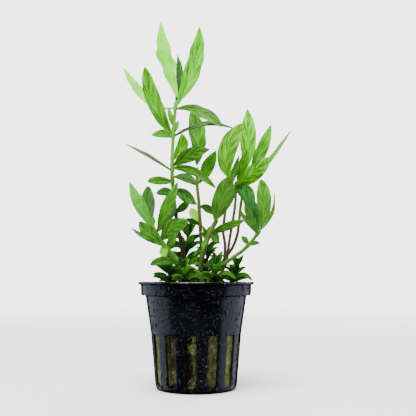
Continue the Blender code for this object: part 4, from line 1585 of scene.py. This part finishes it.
@dataclass
class NetPot:
    """The black net pot, turned from its foot over its rim to its inner floor."""

    height: float = 51.0 * MM
    wall: float = 1.0 * MM
    flange_radius: float = 27.7 * MM
    flange_thickness: float = 1.2 * MM
    band_radius: float = 26.4 * MM
    band_bottom: float = 44.7 * MM
    shoulder_radius: float = 24.2 * MM
    wall_rows: tuple[float, ...] = (31.0 * MM, 36.0 * MM, 41.0 * MM)
    slot_top: float = 26.8 * MM
    slot_bottom: float = 2.4 * MM
    slot_top_radius: float = 21.6 * MM
    foot_radius: float = 19.4 * MM
    foot_rounding: float = 1.8 * MM
    floor: float = 1.2 * MM
    slots: int = 13
    columns_per_slot: int = 12
    slot_columns: int = 6
    first_slot: float = -95.6
    slot_corner: float = 0.7 * MM
    edge: float = 0.16 * MM
    drains: int = 6
    drain_width: float = 2.6 * MM
    drain_inner: float = 7.5 * MM
    drain_outer: float = 14.5 * MM
    drain_corner: float = 0.5 * MM
    seam_bearing: float = -133.0
    seam_width: float = 0.3 * MM
    seam_sunk: float = 0.05 * MM

    def wall_radius(self, height: float) -> float:
        """Return the outer radius of the tapered wall at a height."""
        if height > self.slot_top:
            share = (height - self.slot_top) / (self.band_bottom - self.slot_top)
            return self.slot_top_radius + share * (self.shoulder_radius - self.slot_top_radius)
        share = height / self.slot_top
        return self.foot_radius + share * (self.slot_top_radius - self.foot_radius)

    def rings(self) -> list[tuple[float, float]]:
        """Return the radius and height of each ring, from the foot over the rim and inside."""
        rings = []
        for step in range(5):
            angle = 0.5 * math.pi * step / 4
            rings.append((self.foot_radius - self.foot_rounding * (1.0 - math.sin(angle)),
                          self.foot_rounding * (1.0 - math.cos(angle))))
        slot_heights = [self.slot_bottom + (self.slot_top - self.slot_bottom) * step / 8
                        for step in range(9)]
        upper = [*self.wall_rows, self.band_bottom - 0.4 * MM]
        rings += [(self.wall_radius(height), height) for height in slot_heights + upper]
        under_flange = self.height - self.flange_thickness
        inside = self.band_radius - self.wall
        rings += [
            (self.shoulder_radius + 0.1 * MM, self.band_bottom - 0.15 * MM),
            (self.band_radius - 0.5 * MM, self.band_bottom),
            (self.band_radius - 0.15 * MM, self.band_bottom + 0.2 * MM),
            (self.band_radius, 0.5 * (self.band_bottom + under_flange)),
            (self.band_radius, under_flange - 0.4 * MM),
            (self.band_radius + 0.3 * MM, under_flange - 0.05 * MM),
            (self.flange_radius - 0.25 * MM, under_flange),
            (self.flange_radius, under_flange + 0.3 * MM),
            (self.flange_radius, self.height - 0.3 * MM),
            (self.flange_radius - 0.3 * MM, self.height),
            (inside + 0.3 * MM, self.height),
            (inside, self.height - 0.3 * MM),
            (inside, self.band_bottom + 0.9 * MM),
            (inside - 0.3 * MM, self.band_bottom + 0.3 * MM),
        ]
        inner = [self.band_bottom - 1.1 * MM, *self.wall_rows[::-1], *slot_heights[::-1]]
        rings += [(self.wall_radius(height) - self.wall, height) for height in inner]
        low = self.wall_radius(self.floor) - self.wall
        rings += [(low - 0.2 * MM, self.floor + 0.6 * MM), (low - 0.6 * MM, self.floor + 0.2 * MM),
                  (low - 1.2 * MM, self.floor)]
        return rings

    def turn(self) -> bpy.types.Object:
        """Turn the body, with a column of faces for each point of its rings."""
        return turn_rings("net_pot_moulding", self.rings(),
                          self.slots * self.columns_per_slot, self.first_slot)

    def slot_share(self, place: Vector) -> float:
        """Return a place's bearing from the nearest slot's middle, in columns."""
        bearing = math.degrees(math.atan2(place.y, place.x)) - self.first_slot
        pitch = 360.0 / self.slots
        offset = (bearing + 0.5 * pitch) % pitch - 0.5 * pitch
        return offset / pitch * self.columns_per_slot

    def cut_slots(self, pot: bpy.types.Object) -> None:
        """Open the wall slots by bridging the outer faces of each to its inner faces."""
        half = 0.5 * self.slot_columns
        pitch = 2.0 * math.pi / self.slots
        with edit_mode():
            bpy.ops.mesh.select_mode(type="FACE")
            for slot in range(self.slots):
                bearing = math.radians(self.first_slot) + slot * pitch
                ahead = Vector((math.cos(bearing), math.sin(bearing)))
                pick_faces(pot, lambda centre: (
                    self.slot_bottom < centre.z < self.slot_top
                    and abs(self.slot_share(centre)) < half
                    and centre.to_2d().normalized().dot(ahead) > math.cos(0.5 * pitch)))
                bpy.ops.mesh.bridge_edge_loops()
            bpy.ops.mesh.select_mode(type="EDGE")
            bm = bmesh.from_edit_mesh(pot.data)
            for edge in bm.edges:
                edge.select_set(self._slot_corner(edge.verts[0].co, edge.verts[1].co))
            bmesh.update_edit_mesh(pot.data)
            bpy.ops.mesh.bevel(offset=self.slot_corner, segments=3)
            bpy.ops.mesh.select_mode(type="VERT")

    def _slot_corner(self, start: Vector, end: Vector) -> bool:
        """Return whether an edge runs through the wall at the corner of a slot."""
        near = 0.2 * MM
        through = abs(start.to_2d().length - end.to_2d().length) > 0.6 * self.wall
        level = abs(start.z - end.z) < near
        at_end = min(abs(start.z - self.slot_bottom), abs(start.z - self.slot_top)) < near
        at_side = abs(abs(self.slot_share(start)) - 0.5 * self.slot_columns) < 0.2
        return through and level and at_end and at_side

    def cut_drains(self, pot: bpy.types.Object) -> None:
        """Cut the drain slots out of the floor."""
        cutters = []
        length = self.drain_outer - self.drain_inner
        middle = 0.5 * (self.drain_outer + self.drain_inner)
        for index in range(self.drains):
            bearing = 2.0 * math.pi * (index + 0.5) / self.drains
            bpy.ops.object.select_all(action="DESELECT")
            bpy.ops.mesh.primitive_cube_add(
                size=1.0, location=(middle * math.cos(bearing), middle * math.sin(bearing), 0.0),
                rotation=(0.0, 0.0, bearing))
            cutter = bpy.context.object
            cutter.scale = (length, self.drain_width, 6.0 * MM)
            apply_place(cutter)
            with edit_mode():
                bpy.ops.mesh.select_all(action="SELECT")
                bpy.ops.mesh.bevel(offset=self.drain_corner, segments=2)
            cutters.append(cutter)
        cutter = join_pieces(cutters, "drain_cutter")
        cut = pot.modifiers.new("drains", "BOOLEAN")
        cut.operation = "DIFFERENCE"
        cut.object = cutter
        apply_modifiers(pot)
        bpy.data.objects.remove(cutter)

    def add_seams(self) -> list[bpy.types.Object]:
        """Return the two fine mould seams on the rim band."""
        seams = []
        top = self.height - self.flange_thickness - 0.2 * MM
        radius = self.band_radius - self.seam_sunk
        for turn in (0.0, 180.0):
            bearing = math.radians(self.seam_bearing + turn)
            bpy.ops.object.select_all(action="DESELECT")
            bpy.ops.mesh.primitive_cylinder_add(
                vertices=10, radius=0.5 * self.seam_width, depth=top - self.band_bottom,
                location=(radius * math.cos(bearing), radius * math.sin(bearing),
                          0.5 * (top + self.band_bottom)))
            seam = bpy.context.object
            apply_place(seam)
            with edit_mode():
                bpy.ops.mesh.select_all(action="SELECT")
                bpy.ops.mesh.bevel(offset=self.seam_sunk, segments=1)
            seams.append(seam)
        return seams

    def build(self, paint: Paint) -> bpy.types.Object:
        """Build and dress the pot.

        Args:
            paint: The materials.

        Returns:
            The finished piece.
        """
        pot = self.turn()
        self.cut_slots(pot)
        soften = pot.modifiers.new("edges", "BEVEL")
        soften.limit_method = "ANGLE"
        soften.angle_limit = math.radians(50.0)
        soften.width = self.edge
        soften.segments = 2
        apply_modifiers(pot)
        self.cut_drains(pot)
        pot = join_pieces([pot, *self.add_seams()], "net_pot_moulding")
        bpy.ops.object.shade_smooth_by_angle(angle=math.radians(35.0))
        dress(pot, paint.of(WetPlasticFinish()))
        return pot


# Rock wool


WOOL = WoolFinish("wet_rock_wool", tint(0.040, 0.040, 0.008), tint(0.180, 0.184, 0.038),
                  tint(0.340, 0.350, 0.090))
WOOL_STRAND = WoolFinish("rock_wool_strand", tint(0.090, 0.092, 0.018),
                         tint(0.230, 0.236, 0.055), tint(0.400, 0.410, 0.150))


@dataclass(frozen=True)
class Hollow:
    """A hollow in the wool's side, also painted darker by its depth, in degrees from the front and
    millimetres.
    """

    bearing: float
    spread: float
    depth: float
    low: float = 0.0
    high: float = 30.0

    def depth_at(self, bearing: float, height: float) -> float:
        """Return the hollow's depth at a bearing and height."""
        away = (bearing - self.bearing + 180.0) % 360.0 - 180.0
        if not self.low - 2.0 < height < self.high + 2.0:
            return 0.0
        ends = min(height - self.low + 2.0, self.high + 2.0 - height, 2.0) / 2.0
        return self.depth * ends * math.exp(-(away / self.spread) ** 4)


HOLLOWS = (
    Hollow(-37.5, 6.5, 2.4), Hollow(-11.5, 5.2, 2.8), Hollow(13.5, 2.2, 1.2, 10.0, 26.0),
    Hollow(26.0, 1.6, 1.4, 4.0, 16.0), Hollow(-68.0, 4.0, 1.8, 16.0, 30.0),
    Hollow(42.0, 2.0, 1.0, 0.0, 9.0), Hollow(104.0, 6.0, 2.2), Hollow(131.0, 3.0, 2.0, 8.0, 26.0),
    Hollow(160.0, 5.5, 2.6), Hollow(-172.0, 3.0, 1.6, 0.0, 14.0), Hollow(-117.0, 6.0, 2.5),
    Hollow(-146.0, 3.0, 1.5, 12.0, 28.0),
)


def hollow_at(bearing: float, height: float) -> float:
    """Return how deep the deepest hollow is at a bearing and height."""
    return max(hollow.depth_at(bearing, height) for hollow in HOLLOWS)


@dataclass
class RockWool:
    """The plug of rock wool, pressed into the pot, and the loose fibres on it."""

    pot: NetPot
    top: float = WOOL_TOP
    clear: float = 0.4 * MM
    bulge: float = 0.7 * MM
    columns: int = 260
    rows: int = 42
    strand_length: float = 4.2 * MM
    strand_radius: float = 0.05 * MM
    tuft_spread: float = 1.2
    tuft_strands: int = 9
    tuft_kinds: int = 6
    tufts_per_slot: int = 36
    top_tufts: int = 110
    top_radius: float = 21.0 * MM
    seed: int = 7

    def plug(self, paint: Paint) -> bpy.types.Object:
        """Model the plug: turned to fit the pot's inside, then made lumpy.

        Args:
            paint: The materials.

        Returns:
            The plug.
        """
        bottom = self.pot.floor + self.clear
        inner = self.pot.wall + self.clear
        rings = []
        for step in range(self.rows + 1):
            height = bottom + 0.6 * MM + (self.top - bottom - 1.2 * MM) * step / self.rows
            rings.append((self.pot.wall_radius(height) - inner, height))
        lid = rings[-1][0]
        rings += [(lid * share, self.top - 0.5 * MM * share ** 6)
                  for share in (0.97, 0.9, 0.8, 0.7, 0.6, 0.5, 0.4, 0.3, 0.2, 0.1, 0.03)]
        foot = (rings[0][0] - 0.8 * MM, bottom)
        plug = turn_rings("rock_wool_plug", [foot, *rings], self.columns, self.pot.first_slot)
        self._lumps(plug)
        dress(plug, paint.of(WOOL))
        return plug

    @staticmethod
    def painted_shade(bearing: float) -> float:
        """Return the painted shade on the wet wool at a bearing from the front, in degrees: darkest
        at the front, where the side lights reach least, with a painted light line near -4 degrees.
        """
        ridge = 0.6 * math.exp(-((bearing + 4.2) / 2.4) ** 2)
        return 0.74 * math.exp(-(bearing / 31.0) ** 4) - ridge

    def _lumps(self, plug: bpy.types.Object) -> None:
        """Press the plug into the slots, make it lumpy and store its painted shade."""
        in_slot = plug.vertex_groups.new(name="in_slot")
        hollow = plug.vertex_groups.new(name="hollow")
        shades = []
        half = 0.5 * self.pot.slot_columns
        deepest = max(entry.depth for entry in HOLLOWS)
        for vert in plug.data.vertices:
            place = vert.co
            side = place.to_2d().length > 0.9 * self.pot.wall_radius(place.z) - self.pot.wall
            high = self.pot.slot_bottom + 0.5 * MM < place.z < self.pot.slot_top - 0.5 * MM
            share = 1.0 - abs(self.pot.slot_share(place)) / half if side and high else 0.0
            in_slot.add([vert.index], max(0.0, share) ** 0.5, "REPLACE")
            bearing = math.degrees(math.atan2(place.x, -place.y))
            depth = hollow_at(bearing, place.z / MM)
            depth = depth / deepest if side else 0.0
            hollow.add([vert.index], depth, "REPLACE")
            # Painted shade: darker by the hollow's depth and towards the front.
            shades.append(min(max(depth + self.painted_shade(bearing), 0.0), 1.0))
        shade = plug.data.attributes.new("shade", "FLOAT", "POINT")
        shade.data.foreach_set("value", shades)
        displace(plug, "in_slot", "NORMAL", self.bulge)
        displace(plug, "hollow", "NORMAL", -deepest * MM)
        for name, size, strength in (("lumps", 5.0, 1.6), ("tufts", 1.4, 1.1)):
            texture = bpy.data.textures.new(f"wool_{name}", "CLOUDS")
            texture.noise_scale = size * MM
            modifier = plug.modifiers.new(name, "DISPLACE")
            modifier.texture = texture
            modifier.texture_coords = "LOCAL"
            modifier.mid_level = 0.8
            modifier.strength = strength * MM
        apply_modifiers(plug)
        plug.vertex_groups.clear()
        bpy.ops.object.shade_smooth()

    def _tuft(self, rng: random.Random) -> bpy.types.Object:
        """Model one tuft of curved strands, lying in the XY plane.

        Args:
            rng: The seeded draws.

        Returns:
            The tuft.
        """
        strands = []
        for _ in range(self.tuft_strands):
            strand = bare_curve()
            length = self.strand_length * rng.uniform(0.5, 1.0)
            turn = rng.gauss(0.0, 0.5)
            way = Vector((math.cos(turn), math.sin(turn), 0.0))
            side = Vector((-way.y, way.x, 0.0))
            start = Vector((rng.uniform(-self.tuft_spread, self.tuft_spread),
                            rng.uniform(-self.tuft_spread, self.tuft_spread), 0.0)) * MM
            knots = strand.data.splines[0].bezier_points
            lift = Vector((0.0, 0.0, rng.uniform(0.05, 0.40) * MM))
            knots[0].co = start - 0.5 * length * way
            knots[1].co = start + 0.5 * length * way + lift
            bow = side * rng.uniform(-0.5, 0.5) * length
            knots[0].handle_right = knots[0].co + 0.35 * length * way + bow + lift
            knots[0].handle_left = knots[0].co - 0.2 * length * way
            knots[1].handle_left = knots[1].co - 0.35 * length * way + bow
            knots[1].handle_right = knots[1].co + 0.2 * length * way
            strand.data.resolution_u = 4
            strand.data.bevel_depth = self.strand_radius * rng.uniform(0.7, 1.2)
            strand.data.bevel_resolution = 0
            strand.data.use_fill_caps = True
            bpy.ops.object.convert(target="MESH")
            strands.append(bpy.context.object)
        tuft = join_pieces(strands, "strand_tuft")
        bpy.ops.object.shade_smooth()
        return tuft

    def fibres(self, paint: Paint) -> bpy.types.Object:
        """Lay copies of a few tufts over the slots and the top.

        Args:
            paint: The materials.

        Returns:
            The fibres as one piece.
        """
        rng = random.Random(self.seed)
        tufts = [self._tuft(rng) for _ in range(self.tuft_kinds)]
        copies = []
        pitch = 2.0 * math.pi / self.pot.slots
        half = 0.46 * pitch * self.pot.slot_columns / self.pot.columns_per_slot
        for slot in range(self.pot.slots):
            for index in range(self.tufts_per_slot):
                share = (index + rng.random()) / self.tufts_per_slot
                height = self.pot.slot_bottom + 1.0 * MM + share * (
                    self.pot.slot_top - self.pot.slot_bottom - 2.0 * MM)
                bearing = (math.radians(self.pot.first_slot) + slot * pitch
                           + rng.uniform(-half, half))
                out = Vector((math.cos(bearing), math.sin(bearing), 0.0))
                way = math.degrees(math.atan2(out.x, -out.y))
                hollow = hollow_at(way, height / MM)
                if hollow > 1.0 and rng.random() < 0.7:
                    continue
                depth = 1.15 * MM + 0.9 * hollow * MM
                place = out * (self.pot.wall_radius(height) - depth) + UP * height
                slant = 1.1 + 0.9 * math.sin(height / (3.1 * MM) + 5.0 * bearing)
                # Painted shade of each tuft: that of the wool behind it, with a random share of its
                # own.
                dark = self.painted_shade(way) + 0.25 * hollow + rng.uniform(-0.25, 0.35)
                copies.append((place, out, slant + rng.uniform(-0.4, 0.4), dark))
        for index in range(self.top_tufts):
            radius = self.top_radius * math.sqrt(rng.random())
            bearing = rng.uniform(0.0, 2.0 * math.pi)
            place = Vector((radius * math.cos(bearing), radius * math.sin(bearing),
                            self.top - 0.6 * MM))
            copies.append((place, UP, rng.uniform(0.0, 2.0 * math.pi), rng.uniform(0.0, 0.6)))
        pieces = []
        for index, (place, out, turn, dark) in enumerate(copies):
            piece = copy_piece(tufts[index % len(tufts)], f"tuft_{index}")
            shade = piece.data.attributes.new("shade", "FLOAT", "POINT")
            shade.data.foreach_set("value", [dark] * len(piece.data.vertices))
            facing = out.to_track_quat("Z", "Y").to_matrix().to_4x4()
            piece.data.transform(Matrix.Translation(place) @ facing
                                 @ Matrix.Rotation(turn, 4, "Z"))
            pieces.append(piece)
        for tuft in tufts:
            bpy.data.objects.remove(tuft)
        fibres = join_pieces(pieces, "rock_wool_fibres")
        dress(fibres, paint.of(WOOL_STRAND))
        return fibres


# Studio


@dataclass
class Studio:
    """The pale floor, the soft lights and the camera at the eye."""

    lens: float = 59.5
    shift: float = 0.1635
    floor_size: float = 40.0
    backdrop: float = 4.0
    middle: tuple[float, float, float] = (0.0, 0.0, 0.08)
    cool: tuple[float, float, float] = (0.78, 0.86, 1.08)
    warm: tuple[float, float, float] = (1.0, 1.0, 0.97)

    def floor(self) -> None:
        """Lay the pale floor, which fades into the background in the distance."""
        bpy.ops.object.select_all(action="DESELECT")
        bpy.ops.mesh.primitive_plane_add(size=self.floor_size, location=(0.0, 0.0, -0.05 * MM))
        floor = bpy.context.object
        floor.name = "floor"
        material, bench, shader = new_shader("pale_floor")
        path = bench.add("ShaderNodeLightPath")
        grain = bench.noise(bench.coordinates(), 40.0, 2.0)
        pale = bench.mix(grain, tint(0.80, 0.80, 0.80), tint(0.84, 0.84, 0.84))
        span = bench.add("ShaderNodeVectorMath", operation="LENGTH")
        bench.feed(span.inputs[0], bench.coordinates())
        far = bench.rise(span.outputs["Value"], 0.10, 0.90)
        bench.feed(shader.inputs["Base Color"], bench.mix(far, pale, tint(0.0, 0.0, 0.0)))
        glow = bench.math("MULTIPLY", far, path.outputs["Is Camera Ray"])
        shader.inputs["Emission Color"].default_value = (1.0, 1.0, 1.0, 1.0)
        bench.feed(shader.inputs["Emission Strength"],
                   bench.math("MULTIPLY", glow, self.backdrop))
        shader.inputs["Roughness"].default_value = 0.9
        shader.inputs["Specular IOR Level"].default_value = 0.0
        dress(floor, material)
        floor.visible_glossy = False

    def light(self, name: str, place: tuple[float, float, float], size: tuple[float, float],
              power: float, colour: tuple[float, float, float]) -> None:
        """Hang one soft light that looks at the plant.

        Args:
            name: Its name.
            place: Where it hangs.
            size: Its width and height.
            power: Its power, in watts.
            colour: Its colour.
        """
        aim = (Vector(self.middle) - Vector(place)).to_track_quat("-Z", "Y").to_euler()
        bpy.ops.object.light_add(type="AREA", location=place, rotation=aim)
        lamp = bpy.context.object
        lamp.name = name
        lamp.data.shape = "RECTANGLE"
        lamp.data.size, lamp.data.size_y = size
        lamp.data.energy = power
        lamp.data.color = colour

    def world(self) -> None:
        """Make a pale background that lights the plant only dimly."""
        world = bpy.data.worlds.new("studio")
        bpy.context.scene.world = world
        world.use_nodes = True
        bench = NodeBench(world.node_tree)
        back = world.node_tree.nodes["Background"]
        path = bench.add("ShaderNodeLightPath")
        pale = tint(self.backdrop, self.backdrop, self.backdrop)
        unseen = bench.mix(path.outputs["Is Glossy Ray"], tint(1.00, 1.02, 1.04),
                           tint(0.012, 0.013, 0.018))
        bench.feed(back.inputs["Color"], bench.mix(path.outputs["Is Camera Ray"], unseen, pale))

    def camera(self) -> None:
        """Stand the camera at the eye, level, with its view shifted up."""
        bpy.ops.object.camera_add(location=EYE, rotation=(0.5 * math.pi, 0.0, 0.0))
        camera = bpy.context.object
        camera.name = "camera"
        camera.data.sensor_width = 36.0
        camera.data.lens = self.lens
        camera.data.shift_y = self.shift
        bpy.context.scene.camera = camera

    def build(self) -> None:
        """Set up the whole studio."""
        self.floor()
        self.light("left_softbox", (-0.55, 0.14, 0.06), (0.85, 0.8), 1.8, self.cool)
        self.light("right_softbox", (0.55, 0.14, 0.06), (0.85, 0.8), 1.9, self.cool)
        self.light("top_softbox", (-0.08, -0.25, 0.72), (0.5, 0.5), 14.5, self.warm)
        self.light("back_softbox", (0.1, 0.5, 0.5), (0.6, 0.4), 4.0, self.warm)
        self.world()
        self.camera()


SLOT_OF_STEM = {StemTone.RED: "brown_stem"}


def main() -> None:
    """Build the plant, its wool and its pot, and set up the studio."""
    logging.basicConfig(level=logging.INFO, format="%(message)s")
    Studio().build()
    paint = Paint(Effects())
    stock = BladeStock()
    lines = {look.node: LeafLine.of_node(look.node) for look in LEAVES}
    for look in LEAVES:
        blade = stock.grow(f"{look.node}_blade", lines[look.node], look.form, look.wave,
                           LEAF_SINK, LEAF_THICKNESS, ragged=look.ragged)
        dress(blade, paint.of(look.tone))
        settle(blade, look.slot, look.node)
    for plan in STEMS:
        stem = Stem(plan).build(stock, lines.values(), paint)
        settle(stem, SLOT_OF_STEM.get(plan.tone, "green_stem"), plan.node)
    for sprig in SPRIGS:
        settle(Sprig(sprig).build(stock, paint), sprig.slot, sprig.node)
    stock.clear()
    pot = NetPot()
    settle(pot.build(paint), "black_plastic", "net_pot")
    wool = RockWool(pot)
    settle(wool.plug(paint), "rock_wool", "rock_wool")
    settle(wool.fibres(paint), "rock_wool")


if __name__ == "__main__":
    main()
